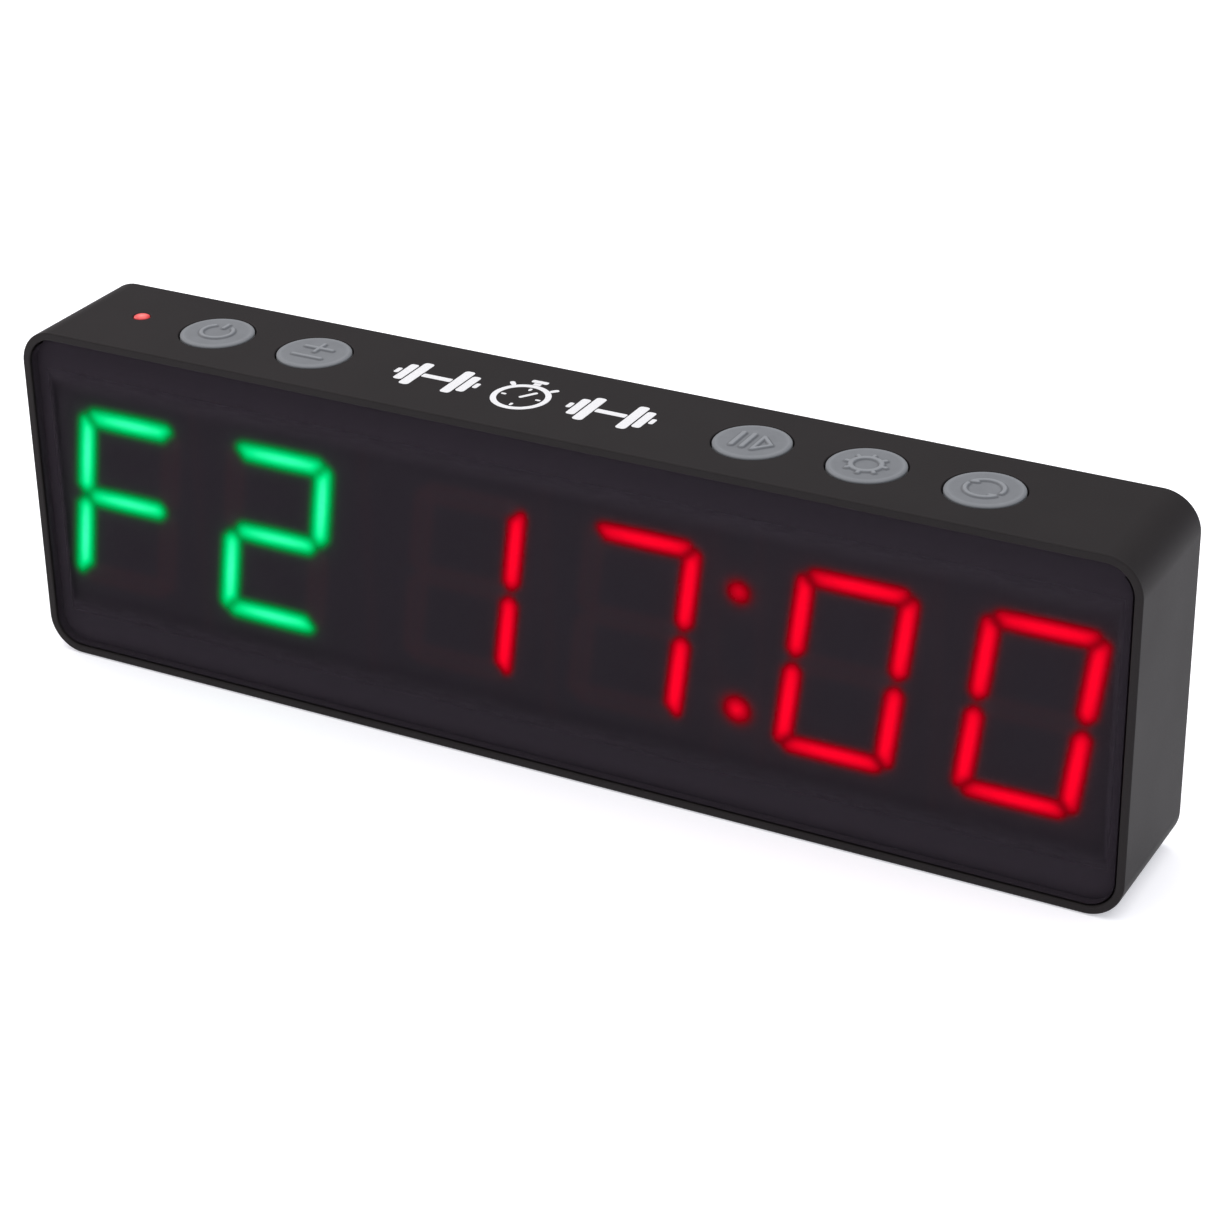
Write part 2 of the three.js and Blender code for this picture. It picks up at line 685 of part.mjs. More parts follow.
// ---------------------------------------------------------------- battery, charging inlet and sounder
{
  const b = BATTERY;
  // Pouch cell: thick middle, thin sealed edge at the lead end.
  const pouch = joined([
    alongY(
      roundedRect(b.x1 - b.x0 - 3, b.z1 - b.z0, 2, 3, (b.x0 + b.x1 - 3) / 2, (b.z0 + b.z1) / 2),
      b.y0,
      b.y1,
      0.8,
    ),
    box(b.x1 - 4, b.x1, b.y0 + 2.6, b.y0 + 5.2, b.z0 + 1, b.z1 - 1),
  ]);
  place(powerGroup, "battery_cell", pouch, M.cell());

  // Two-core lead from the cell's edge to its plug.
  const path = new THREE.CatmullRomCurve3([
    new THREE.Vector3(-13.6, 7.5, 24),
    new THREE.Vector3(-11.5, 7.5, 24),
    new THREE.Vector3(-9.2, 7.5, 22.6),
    new THREE.Vector3(-8.6, 7.5, 20),
    new THREE.Vector3(-7.6, 7.5, 17.4),
    new THREE.Vector3(-5.0, 7.5, 16.6),
    new THREE.Vector3(-2.2, 7.5, 16.6),
  ]);
  const lead = new THREE.ExtrudeGeometry(new THREE.Shape(roundedRect(1.2, 2.4, 0.55, 1)), {
    steps: 12,
    bevelEnabled: false,
    extrudePath: path,
  });
  place(powerGroup, "battery_leads", solid(lead), M.wire());

  // Plug in its header, on the back of the main board.
  const y = BOARD.y1 + 0.15;
  const header = cut(box(-2.2, 5.4, y, y + 6.0, 13.2, 20.0), [
    box(-3, 4.2, y + 1.0, y + 7, 14.2, 19.0),
  ]);
  place(powerGroup, "battery_header", header, M.connector());
  place(
    powerGroup,
    "battery_plug",
    cut(box(-1.9, 3.9, y + 1.3, y + 6.4, 14.5, 18.7), [box(-0.6, 0.6, y + 5.9, y + 7, 15.2, 18.0)]),
    M.connector(),
  );

  // Upright USB-C inlet: rounded metal shell, tongue standing on its own base inside.
  const [ux, uz] = USB;
  const mouth = BACK - 0.3;
  const shellOuter = alongY(roundedRect(8.94, 3.26, 1.6, 3, ux, uz), BOARD.y1 + 0.2, mouth);
  const shellInner = alongY(roundedRect(8.34, 2.66, 1.3, 3, ux, uz), BOARD.y1 - 1, mouth + 1);
  place(powerGroup, "usb_socket_shell", shellOuter.subtract(shellInner), M.steel());
  place(
    powerGroup,
    "usb_socket_tongue",
    alongY(roundedRect(8.0, 2.3, 1.1, 3, ux, uz), BOARD.y1 + 0.3, BACK - 7.2).add(
      alongY(rect(ux - 3.3, uz - 0.35, ux + 3.3, uz + 0.35), BACK - 8, mouth - 0.9),
    ),
    M.chip(),
  );

  // Sounder facing the slots in the rear cover.
  const [sx, sz] = SPEAKER;
  const frame = turnedY(
    [
      [0, 5.6],
      [6.5, 5.6],
      [6.5, 8.0],
      [10.5, 8.6],
      [14.0, 9.6],
      [14.0, 11.1],
      [12.8, 11.1],
      [12.8, 10.1],
      [9.8, 9.1],
      [5.7, 8.7],
      [5.7, 7.4],
      [0, 7.4],
    ],
    20,
  );
  place(powerGroup, "speaker_frame", frame, M.steel(), sx, 0, sz);
  place(
    powerGroup,
    "speaker_cone",
    turnedY(
      [
        [0, 9.9],
        [4.0, 9.2],
        [9.6, 9.75],
        [12.4, 10.7],
        [12.4, 10.95],
        [9.4, 10.15],
        [4.6, 9.75],
        [3.2, 10.5],
        [0, 10.9],
      ],
      20,
    ),
    M.cone(),
    sx,
    0,
    sz,
  );
  place(
    powerGroup,
    "speaker_gasket",
    turnedY(
      [
        [12.6, 11.2],
        [14.0, 11.2],
        [14.0, 11.75],
        [12.6, 11.75],
        [12.6, 11.2],
      ],
      20,
    ),
    M.gasket(),
    sx,
    0,
    sz,
  );
}

export default timer;
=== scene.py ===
import math

import bmesh
import bpy
import numpy as np
from mathutils import Matrix, Vector


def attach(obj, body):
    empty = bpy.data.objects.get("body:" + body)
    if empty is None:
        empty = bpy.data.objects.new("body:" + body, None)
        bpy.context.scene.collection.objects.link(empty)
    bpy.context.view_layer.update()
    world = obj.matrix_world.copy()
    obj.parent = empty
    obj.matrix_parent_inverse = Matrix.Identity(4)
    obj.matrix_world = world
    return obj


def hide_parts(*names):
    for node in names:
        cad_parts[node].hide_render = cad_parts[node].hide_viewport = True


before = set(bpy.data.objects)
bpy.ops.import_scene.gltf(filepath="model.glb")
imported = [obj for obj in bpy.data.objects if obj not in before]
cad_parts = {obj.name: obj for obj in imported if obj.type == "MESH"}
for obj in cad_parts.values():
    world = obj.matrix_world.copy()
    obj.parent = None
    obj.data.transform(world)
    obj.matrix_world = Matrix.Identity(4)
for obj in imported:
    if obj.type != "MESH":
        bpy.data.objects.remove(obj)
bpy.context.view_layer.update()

scene = bpy.context.scene
MM = 0.001

# ------------------------------------------------------------------ camera
cam_data = bpy.data.cameras.new("camera")
cam_data.sensor_width = 36.0
cam_data.lens = 95.798
cam_data.clip_start, cam_data.clip_end = 0.02, 60.0
cam = bpy.data.objects.new("camera", cam_data)
scene.collection.objects.link(cam)
CAM_AT = Vector((0.265059, -0.471216, 0.308132))
RIGHT = Vector((0.8803, 0.47414, -0.01619))
DOWN = Vector((0.2052, -0.41132, -0.88809))
AHEAD = Vector((-0.42774, 0.77847, -0.45938))
rot = Matrix((RIGHT, -DOWN, -AHEAD)).transposed().to_quaternion()
cam.matrix_world = Matrix.LocRotScale(CAM_AT, rot, None)
scene.camera = cam

# ------------------------------------------------------------------ dimensions, millimetres, as in the CAD
WIDTH, HEIGHT, DEPTH = 230.0, 70.0, 29.0
FRONT, BACK = -DEPTH / 2, DEPTH / 2
CORNER_R, RIM, WALL = 7.3, 1.6, 2.0
LENS_GAP, LENS_T, LENS_SET_BACK = 0.35, 2.0, 0.1
LEDGE_FRONT, LEDGE_BACK = -11.7, -10.2
WINDOW_W, WINDOW_H = 224.4, 58.0
COVER_T, COVER_STEP, COVER_GAP = 2.6, 0.7, 0.35
COVER_FRONT, RECESS_FLOOR = 11.9, 11.7
MID_Z = HEIGHT / 2
DIGIT_X = (-95.1, -60.15, -18.0, 18.0, 60.15, 95.1)
DIGIT_Z, DIGIT_FRONT, DIGIT_BACK = 34.9, -11.1, 0.6
SEG_X, SEG_Z, SEG_HALF, SLANT = 9.94, 17.3, 1.75, 0.131
COLON_X = 39.08
COLON_DOTS = ((0.15, 11.05), (-0.15, -12.85))
KEY_X = (-78.5, -56.3, 36.2, 58.45, 80.7)
KEYS = ("power", "plus_minus", "start_pause", "settings", "cycle")
KEY_R, KEY_HOLE_R, KEY_FLANGE_R, KEY_BASE_Z, KEY_TOP = 7.2, 7.5, 8.3, 66.9, 70.6
INDICATOR, INDICATOR_R = (-96.8, 0.7), 1.6
SCREW_AT = ((-105, 6.4), (105, 6.4), (-105, 63.6), (105, 63.6))
MAGNET_AT = ((-92, 18), (92, 18), (-92, 52), (92, 52))
MAGNET_R = 7.7
USB = (34.0, 12.0)
SPEAKER, SLOT_PITCH, SLOT_W = (60.0, 34.0), 3.2, 1.5
SLOT_HALF_H = (5.0, 8.2, 9.9, 10.5, 9.9, 8.2, 5.0)
LIT = ("aefg", "abged", "bc", "abc", "abcdef", "abcdef")

# ------------------------------------------------------------------ mesh helpers (millimetres until seat())


def outline(w, h, r, n=24, cx=0.0, cy=0.0):
    out = []
    for q, (sx, sy) in enumerate(((1, 1), (-1, 1), (-1, -1), (1, -1))):
        for i in range(n + 1):
            a = (q + i / n) * math.pi / 2
            out.append((cx + sx * (w / 2 - r) + r * math.cos(a), cy + sy * (h / 2 - r) + r * math.sin(a)))
    return out


def disc(r, n=96, cx=0.0, cy=0.0):
    return [(cx + r * math.cos(2 * math.pi * i / n), cy + r * math.sin(2 * math.pi * i / n)) for i in range(n)]


def new_object(name, verts, faces):
    me = bpy.data.meshes.new(name)
    me.from_pydata([tuple(v) for v in verts], [], faces)
    me.validate()
    ob = bpy.data.objects.new(name, me)
    scene.collection.objects.link(ob)
    return ob


def prism(name, pts, a, b, axis="Y"):
    """A closed prism of a 2-D outline. Y: outline in X and Z; Z: outline in X and Y; X: outline in Y and Z."""
    n = len(pts)
    place = {
        "Y": lambda p, t: (p[0], t, p[1]),
        "Z": lambda p, t: (p[0], p[1], t),
        "X": lambda p, t: (t, p[0], p[1]),
    }[axis]
    verts = [place(p, a) for p in pts] + [place(p, b) for p in pts]
    faces = [tuple(range(n)), tuple(reversed(range(n, 2 * n)))]
    faces += [(i, i + n, (i + 1) % n + n, (i + 1) % n) for i in range(n)]
    ob = new_object(name, verts, faces)
    fix_normals(ob)
    return ob


def lathe(name, profile, n=64, centre=(0, 0, 0), axis="Z"):
    """A profile of (radius, height) turned about an axis; points at radius 0 become poles."""
    verts, rings = [], []
    for r, h in profile:
        if r < 1e-9:
            rings.append([len(verts)])
            verts.append((0, 0, h))
        else:
            rings.append([len(verts) + i for i in range(n)])
            verts += [(r * math.cos(2 * math.pi * i / n), r * math.sin(2 * math.pi * i / n), h) for i in range(n)]
    faces = []
    for a, b in zip(rings, rings[1:]):
        for i in range(n):
            j = (i + 1) % n
            if len(a) == 1 and len(b) == 1:
                break
            if len(a) == 1:
                faces.append((a[0], b[i], b[j]))
            elif len(b) == 1:
                faces.append((a[i], b[0], a[j]))
            else:
                faces.append((a[i], b[i], b[j], a[j]))
    if axis == "Y":
        verts = [(x, z, -y) for x, y, z in verts]
    verts = [(x + centre[0], y + centre[1], z + centre[2]) for x, y, z in verts]
    ob = new_object(name, verts, faces)
    fix_normals(ob)
    return ob


def fix_normals(ob):
    bm = bmesh.new()
    bm.from_mesh(ob.data)
    bmesh.ops.recalc_face_normals(bm, faces=bm.faces)
    bm.to_mesh(ob.data)
    bm.free()


def drop(ob):
    me = ob.data
    bpy.data.objects.remove(ob)
    if me.users == 0:
        bpy.data.meshes.remove(me)


def join(name, obs):
    verts, faces, base = [], [], 0
    for ob in obs:
        verts += [tuple(v.co) for v in ob.data.vertices]
        faces += [tuple(i + base for i in p.vertices) for p in ob.data.polygons]
        base = len(verts)
        drop(ob)
    return new_object(name, verts, faces)


def applied(ob):
    """Swaps ob's mesh for its evaluated one and clears its modifiers."""
    bpy.context.view_layer.update()
    dg = bpy.context.evaluated_depsgraph_get()
    me = bpy.data.meshes.new_from_object(ob.evaluated_get(dg), preserve_all_data_layers=True, depsgraph=dg)
    old = ob.data
    ob.modifiers.clear()
    ob.data = me
    if old.users == 0:
        bpy.data.meshes.remove(old)
    me.name = ob.name
    return ob


def boolean(ob, cutters, op="DIFFERENCE"):
    """Cuts or joins a list of solids, which are then removed. Cutters in one list must not touch each other."""
    tool = join(ob.name + "_tool", cutters) if len(cutters) > 1 else cutters[0]
    m = ob.modifiers.new("bool", "BOOLEAN")
    m.operation, m.object, m.solver = op, tool, "EXACT"
    applied(ob)
    drop(tool)
    return ob


def bevel_where(ob, test, width, segments=3, angle=0.5):
    """Rounds the edges whose two ends pass test(co) and whose faces meet at more than angle."""
    bm = bmesh.new()
    bm.from_mesh(ob.data)
    edges = [
        e
        for e in bm.edges
        if len(e.link_faces) == 2 and e.calc_face_angle(0) > angle and test(e.verts[0].co) and test(e.verts[1].co)
    ]
    bmesh.ops.bevel(
        bm, geom=edges, offset=width, offset_type="OFFSET", segments=segments, profile=0.5, affect="EDGES", clamp_overlap=False
    )
    bm.to_mesh(ob.data)
    bm.free()
    return ob


def shade(ob, angle=40.0, weighted=True):
    me = ob.data
    me.polygons.foreach_set("use_smooth", [True] * len(me.polygons))
    me.set_sharp_from_angle(angle=math.radians(angle))
    if weighted:
        m = ob.modifiers.new("normals", "WEIGHTED_NORMAL")
        m.mode, m.weight, m.keep_sharp = "FACE_AREA", 60, True
        applied(ob)
    return ob


def seat(ob, material, body, replaces=()):
    """Millimetres to metres, material, body."""
    ob.data.transform(Matrix.Scale(MM, 4))
    ob.data.materials.clear()
    ob.data.materials.append(material)
    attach(ob, body)
    if replaces:
        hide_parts(*replaces)
    return ob


# ------------------------------------------------------------------ material helpers


class Mat:
    """A Principled material with small helpers for procedural detail. Coordinates are millimetres in the row frame."""

    def __init__(self, name, **plain):
        self.m = bpy.data.materials.new(name)
        self.m.use_nodes = True
        self.t = self.m.node_tree
        self.t.nodes.clear()
        self.out = self.t.nodes.new("ShaderNodeOutputMaterial")
        self.b = self.t.nodes.new("ShaderNodeBsdfPrincipled")
        self.t.links.new(self.b.outputs[0], self.out.inputs[0])
        co = self.t.nodes.new("ShaderNodeTexCoord")
        mp = self.t.nodes.new("ShaderNodeMapping")
        mp.inputs["Scale"].default_value = (1000, 1000, 1000)
        self.t.links.new(co.outputs["Object"], mp.inputs["Vector"])
        self.co = mp.outputs["Vector"]
        for k, v in plain.items():
            self.plain(k, v)

    def plain(self, key, value):
        names = {
            "rough": "Roughness", "metal": "Metallic", "spec": "Specular IOR Level", "ior": "IOR", "coat": "Coat Weight",
            "coat_rough": "Coat Roughness", "sheen": "Sheen Weight", "sheen_rough": "Sheen Roughness", "alpha": "Alpha",
            "trans": "Transmission Weight", "sss": "Subsurface Weight", "glow": "Emission Strength", "aniso": "Anisotropic",
        }
        colours = {"color": "Base Color", "glow_color": "Emission Color", "sheen_tint": "Sheen Tint"}
        if key in colours:
            self.b.inputs[colours[key]].default_value = (*value, 1.0) if len(value) == 3 else value
        else:
            self.b.inputs[names[key]].default_value = value

    def node(self, kind, **inputs):
        n = self.t.nodes.new(kind)
        for k, v in inputs.items():
            self.feed(n.inputs[k], v)
        return n

    def feed(self, socket, value):
        if isinstance(value, bpy.types.NodeSocket):
            self.t.links.new(value, socket)
        else:
            socket.default_value = value

    def noise(self, scale, detail=2.0, rough=0.5, vector=None, distortion=0.0):
        n = self.t.nodes.new("ShaderNodeTexNoise")
        self.t.links.new(vector or self.co, n.inputs["Vector"])
        n.inputs["Scale"].default_value = scale
        n.inputs["Detail"].default_value = detail
        n.inputs["Roughness"].default_value = rough
        n.inputs["Distortion"].default_value = distortion
        return n.outputs["Fac"]

    def voronoi(self, scale, vector=None, feature="F1"):
        n = self.t.nodes.new("ShaderNodeTexVoronoi")
        n.feature = feature
        self.t.links.new(vector or self.co, n.inputs["Vector"])
        n.inputs["Scale"].default_value = scale
        return n.outputs["Distance"]

    def stretch(self, sx, sy, sz):
        n = self.t.nodes.new("ShaderNodeMapping")
        n.inputs["Scale"].default_value = (sx, sy, sz)
        self.t.links.new(self.co, n.inputs["Vector"])
        return n.outputs["Vector"]

    def xyz(self):
        n = self.t.nodes.new("ShaderNodeSeparateXYZ")
        self.t.links.new(self.co, n.inputs[0])
        return n.outputs

    def math(self, op, a, b=None, c=None, clamp=False):
        n = self.t.nodes.new("ShaderNodeMath")
        n.operation, n.use_clamp = op, clamp
        for i, v in enumerate((a, b, c)):
            if v is not None:
                self.feed(n.inputs[i], v)
        return n.outputs[0]

    def span(self, value, lo, hi, to_lo=0.0, to_hi=1.0, smooth=False):
        n = self.t.nodes.new("ShaderNodeMapRange")
        n.clamp = True
        if smooth:
            n.interpolation_type = "SMOOTHSTEP"
        for k, v in zip(("Value", "From Min", "From Max", "To Min", "To Max"), (value, lo, hi, to_lo, to_hi)):
            self.feed(n.inputs[k], v)
        return n.outputs[0]

    def mix(self, fac, a, b):
        n = self.t.nodes.new("ShaderNodeMix")
        n.data_type = "RGBA"
        ins = [s for s in n.inputs if s.enabled]
        fac_s = next(s for s in n.inputs if s.name == "Factor" and s.type == "VALUE")
        a_s = next(s for s in n.inputs if s.name == "A" and s.type == "RGBA")
        b_s = next(s for s in n.inputs if s.name == "B" and s.type == "RGBA")
        self.feed(fac_s, fac)
        for s, v in ((a_s, a), (b_s, b)):
            if isinstance(v, bpy.types.NodeSocket):
                self.t.links.new(v, s)
            else:
                s.default_value = (*v, 1.0)
        return next(s for s in n.outputs if s.type == "RGBA")

    def bump(self, height, distance_mm, strength=1.0, normal=None):
        n = self.t.nodes.new("ShaderNodeBump")
        n.inputs["Strength"].default_value = strength
        n.inputs["Distance"].default_value = distance_mm * MM
        self.t.links.new(height, n.inputs["Height"])
        if normal is not None:
            self.t.links.new(normal, n.inputs["Normal"])
        self.t.links.new(n.outputs[0], self.b.inputs["Normal"])
        return n.outputs[0]

    def scaled(self, colour, by):
        n = self.t.nodes.new("ShaderNodeVectorMath")
        n.operation = "SCALE"
        self.feed(n.inputs[0], colour)
        self.feed(n.inputs["Scale"], by)
        return n.outputs["Vector"]

    def added(self, a, b):
        n = self.t.nodes.new("ShaderNodeVectorMath")
        n.operation = "ADD"
        self.feed(n.inputs[0], a)
        self.feed(n.inputs[1], b)
        return n.outputs["Vector"]

    def set(self, key, socket):
        self.t.links.new(socket, self.b.inputs[key])


def moulded(name, dark, light, rough=(0.5, 0.6), grain=3.0, grain_mm=0.02, cloud=0.05, **plain):
    """Moulded or coated plastic: a fine spark-eroded grain, faint clouding in colour and gloss."""
    m = Mat(name, **plain)
    big = m.noise(cloud, 4.0, 0.6)
    fine = m.noise(grain, 3.0, 0.6)
    tone = m.math("ADD", m.math("MULTIPLY", big, 0.6), m.math("MULTIPLY", fine, 0.4))
    m.set("Base Color", m.mix(m.span(tone, 0.35, 0.65), dark, light))
    m.set("Roughness", m.span(m.noise(grain * 0.4, 3.0, 0.6), 0.3, 0.7, rough[0], rough[1]))
    m.bump(fine, grain_mm)
    return m.m


def brushed(name, dark, light, rough=(0.25, 0.4), along=(1, 40, 40), **plain):
    m = Mat(name, metal=1.0, **plain)
    lines = m.noise(0.6, 3.0, 0.6, vector=m.stretch(*along))
    m.set("Base Color", m.mix(lines, dark, light))
    m.set("Roughness", m.span(lines, 0.3, 0.7, rough[0], rough[1]))
    m.bump(lines, 0.006)
    return m.m


# ------------------------------------------------------------------ materials

# soft-touch black of the case
def soft_touch(name):
    m = Mat(name, spec=0.085)
    big = m.noise(0.035, 4.0, 0.6)
    fine = m.noise(2.6, 4.0, 0.65)
    pits = m.voronoi(3.4)
    tone = m.math("ADD", m.math("MULTIPLY", big, 0.55), m.math("MULTIPLY", fine, 0.45))
    m.set("Base Color", m.mix(m.span(tone, 0.35, 0.65), (0.0180, 0.0157, 0.0163), (0.0225, 0.0198, 0.0205)))
    m.set("Roughness", m.span(m.math("ADD", m.math("MULTIPLY", big, 0.5), m.math("MULTIPLY", fine, 0.5)), 0.3, 0.7, 0.46, 0.58))
    m.bump(m.math("ADD", m.math("MULTIPLY", fine, 0.7), m.math("MULTIPLY", pits, 0.3)), 0.022)
    return m.m


M_CASE = soft_touch("case_soft_touch")
M_COVER = moulded("cover_texture", (0.013, 0.0125, 0.013), (0.019, 0.018, 0.0185), rough=(0.55, 0.68), grain=1.7, grain_mm=0.05, spec=0.3)

# smoked acrylic: see-through, glossy, with faint wipe marks in its gloss
LENS_ALPHA = 0.08  # at each of its two faces; the film behind it carries most of the smoke


def lens_tint(m):
    return m.mix(m.span(m.noise(0.05, 4.0, 0.6), 0.35, 0.65), (0.0040, 0.0026, 0.0042), (0.0052, 0.0034, 0.0054))


def lens_finish(m):
    m.set("Roughness", m.span(m.noise(0.08, 5.0, 0.6, vector=m.stretch(1.0, 1.0, 3.0)), 0.3, 0.75, 0.16, 0.26))
    m.bump(m.noise(0.05, 2.0, 0.5), 0.03)
    return m.m


def acrylic():
    m = Mat("smoked_acrylic", spec=0.08, ior=1.49, alpha=LENS_ALPHA)
    m.set("Base Color", lens_tint(m))
    return lens_finish(m)


def lens_back():
    """The back and edges of the acrylic, with the border printed on them. It has no gloss: nothing shines inside it."""
    m = Mat("smoked_acrylic_back", spec=0.0, ior=1.49)
    x, y, z = m.xyz()
    side = m.math("MAXIMUM", m.span(x, 109.6, 111.6, smooth=True), m.span(x, -109.3, -111.2, smooth=True))
    edge = m.span(m.math("ABSOLUTE", m.math("SUBTRACT", z, MID_Z)), 21.6, 27.6, smooth=True)
    on_back = m.math("GREATER_THAN", y, FRONT + LENS_SET_BACK + LENS_T - 0.05)
    on_edge = m.math("LESS_THAN", z, MID_Z + 31.5)
    border = m.math("MULTIPLY", m.math("MAXIMUM", side, edge), m.math("MAXIMUM", on_back, on_edge))
    # where the print fades out, it also shades the film behind it, so its ink there carries painted light to make up
    # for that shadow: t(2 - t) in place of t
    opacity = m.span(border, 0.0, 1.0, LENS_ALPHA, 1.0)
    left_clear = m.math("SUBTRACT", 1.0, border)
    painted_shadow_fill = m.math("SUBTRACT", 1.0, m.math("MULTIPLY", left_clear, left_clear))
    # painted light: the border's ink is lighter towards the bottom edge, to offset the shade there
    painted_light_low = m.span(z, MID_Z - 25.0, MID_Z - 33.0, 1.0, 1.22, smooth=True)
    ink_part = m.math("DIVIDE", m.math("MULTIPLY", painted_shadow_fill, painted_light_low), opacity)
    clear_part = m.math("DIVIDE", m.math("MULTIPLY", left_clear, LENS_ALPHA), opacity)
    m.set("Base Color", m.added(m.scaled((0.0311, 0.0256, 0.0328), ink_part), m.scaled(lens_tint(m), clear_part)))
    m.set("Alpha", opacity)
    return lens_finish(m)


M_LENS, M_LENS_BACK = acrylic(), lens_back()


def silicone():
    m = Mat("key_silicone", spec=0.35, sheen=0.12, sheen_rough=0.5)
    big = m.noise(0.35, 3.0, 0.6)
    fine = m.noise(5.0, 3.0, 0.6)
    tone = m.math("ADD", m.math("MULTIPLY", big, 0.5), m.math("MULTIPLY", fine, 0.5))
    base = m.mix(m.span(tone, 0.35, 0.65), (0.139, 0.147, 0.161), (0.165, 0.174, 0.190))
    # painted light: shade in the valleys round the raised symbols, highlight on their tops and towards the rim of the
    # face
    painted_relief_light = m.node("ShaderNodeAttribute")
    painted_relief_light.attribute_name = "painted_relief_light"
    painted_light_low = m.mix(m.span(painted_relief_light.outputs["Fac"], 0.0, 0.5), (0.078, 0.084, 0.095), base)
    m.set("Base Color", m.mix(m.span(painted_relief_light.outputs["Fac"], 0.5, 1.0, 0.0, 0.75), painted_light_low, (0.265, 0.278, 0.300)))
    m.set("Roughness", m.span(fine, 0.3, 0.7, 0.48, 0.62))
    m.bump(m.math("ADD", m.math("MULTIPLY", fine, 0.7), m.math("MULTIPLY", m.voronoi(4.0), 0.3)), 0.018)
    return m.m


M_KEY = silicone()


def ink():
    m = Mat("white_ink", spec=0.35)
    fine = m.noise(4.0, 4.0, 0.7)
    m.set("Base Color", m.mix(m.span(fine, 0.3, 0.75), (0.66, 0.66, 0.68), (0.86, 0.86, 0.88)))
    m.set("Roughness", m.span(fine, 0.3, 0.7, 0.42, 0.6))
    m.bump(fine, 0.006)
    return m.m


M_INK = ink()
M_DIGIT_CASE = moulded("digit_case_plastic", (0.010, 0.010, 0.011), (0.016, 0.016, 0.017), rough=(0.5, 0.65), grain=2.0, grain_mm=0.02, spec=0.3)
M_TAPE = moulded("tape_foam", (0.012, 0.012, 0.012), (0.02, 0.02, 0.02), rough=(0.8, 0.95), grain=4.0, grain_mm=0.05, spec=0.2)
M_CHIP = moulded("chip_epoxy", (0.012, 0.012, 0.013), (0.022, 0.022, 0.024), rough=(0.45, 0.6), grain=6.0, grain_mm=0.01, spec=0.4)
M_SWITCH = moulded("switch_plastic", (0.014, 0.014, 0.016), (0.024, 0.024, 0.026), rough=(0.4, 0.55), grain=4.0, grain_mm=0.01, spec=0.4)
M_PLUNGER = moulded("plunger_plastic", (0.42, 0.34, 0.22), (0.52, 0.43, 0.30), rough=(0.4, 0.5), grain=4.0, grain_mm=0.008, spec=0.4)
M_CONNECTOR = moulded("connector_nylon", (0.72, 0.69, 0.60), (0.80, 0.77, 0.69), rough=(0.45, 0.55), grain=3.0, grain_mm=0.01, spec=0.4)
M_WIRE = moulded("wire_jacket", (0.34, 0.012, 0.012), (0.42, 0.02, 0.018), rough=(0.4, 0.5), grain=5.0, grain_mm=0.008, spec=0.4)
M_FLEX = moulded("flex_polyimide", (0.70, 0.70, 0.66), (0.80, 0.80, 0.77), rough=(0.3, 0.45), grain=2.0, grain_mm=0.004, spec=0.5)
M_GASKET = moulded("gasket_foam", (0.008, 0.008, 0.008), (0.018, 0.018, 0.018), rough=(0.85, 0.98), grain=5.0, grain_mm=0.12, spec=0.15)
M_BASKET = moulded("basket_paint", (0.03, 0.03, 0.032), (0.045, 0.045, 0.048), rough=(0.35, 0.5), grain=3.0, grain_mm=0.01, spec=0.45)
M_STEEL = brushed("screw_zinc", (0.10, 0.10, 0.105), (0.20, 0.20, 0.21), rough=(0.28, 0.42))
M_SHELL = brushed("socket_steel", (0.42, 0.43, 0.45), (0.60, 0.61, 0.63), rough=(0.2, 0.34), along=(30, 1, 30))


def nickel():
    m = Mat("magnet_nickel", metal=1.0)
    fine = m.noise(1.2, 4.0, 0.65)
    scuff = m.noise(0.9, 5.0, 0.7, vector=m.stretch(1.0, 1.0, 9.0))
    m.set("Base Color", m.mix(scuff, (0.25, 0.25, 0.262), (0.36, 0.36, 0.372)))
    m.set("Roughness", m.span(scuff, 0.35, 0.7, 0.20, 0.42))
    m.bump(fine, 0.004)
    return m.m


M_NICKEL = nickel()


def board():
    m = Mat("circuit_board", spec=0.45)
    x, y, z = m.xyz()
    copper = m.voronoi(0.45, feature="DISTANCE_TO_EDGE")
    track = m.span(copper, 0.05, 0.09)
    m.set("Base Color", m.mix(track, (0.012, 0.10, 0.035), (0.008, 0.055, 0.022)))
    m.set("Roughness", m.span(m.noise(1.5, 3.0), 0.3, 0.7, 0.28, 0.42))
    m.bump(track, 0.03)
    return m.m


M_BOARD = board()


def foil():
    m = Mat("cell_foil", metal=0.85)
    n = m.noise(0.12, 5.0, 0.6)
    wrinkle = m.noise(0.35, 5.0, 0.65, distortion=0.8)
    m.set("Base Color", m.mix(n, (0.40, 0.42, 0.44), (0.52, 0.54, 0.56)))
    m.set("Roughness", m.span(wrinkle, 0.3, 0.7, 0.3, 0.45))
    m.bump(wrinkle, 0.12)
    return m.m


M_FOIL = foil()


def cone_paper():
    m = Mat("cone_paper", spec=0.25)
    fib = m.noise(2.5, 5.0, 0.75, distortion=0.6)
    m.set("Base Color", m.mix(fib, (0.010, 0.010, 0.010), (0.03, 0.03, 0.03)))
    m.set("Roughness", m.span(fib, 0.3, 0.7, 0.7, 0.9))
    m.bump(fib, 0.06)
    return m.m


M_CONE = cone_paper()


def epoxy():
    """The cast light body of a digit, unlit: a warm, slightly cloudy resin."""
    m = Mat("light_body_resin", spec=0.4)
    n = m.noise(0.9, 4.0, 0.6)
    m.set("Base Color", m.mix(n, (0.34, 0.20, 0.13), (0.44, 0.27, 0.18)))
    m.set("Roughness", m.span(m.noise(3.0, 3.0), 0.3, 0.7, 0.35, 0.5))
    m.bump(m.noise(4.0, 3.0), 0.01)
    return m.m


M_RESIN = epoxy()
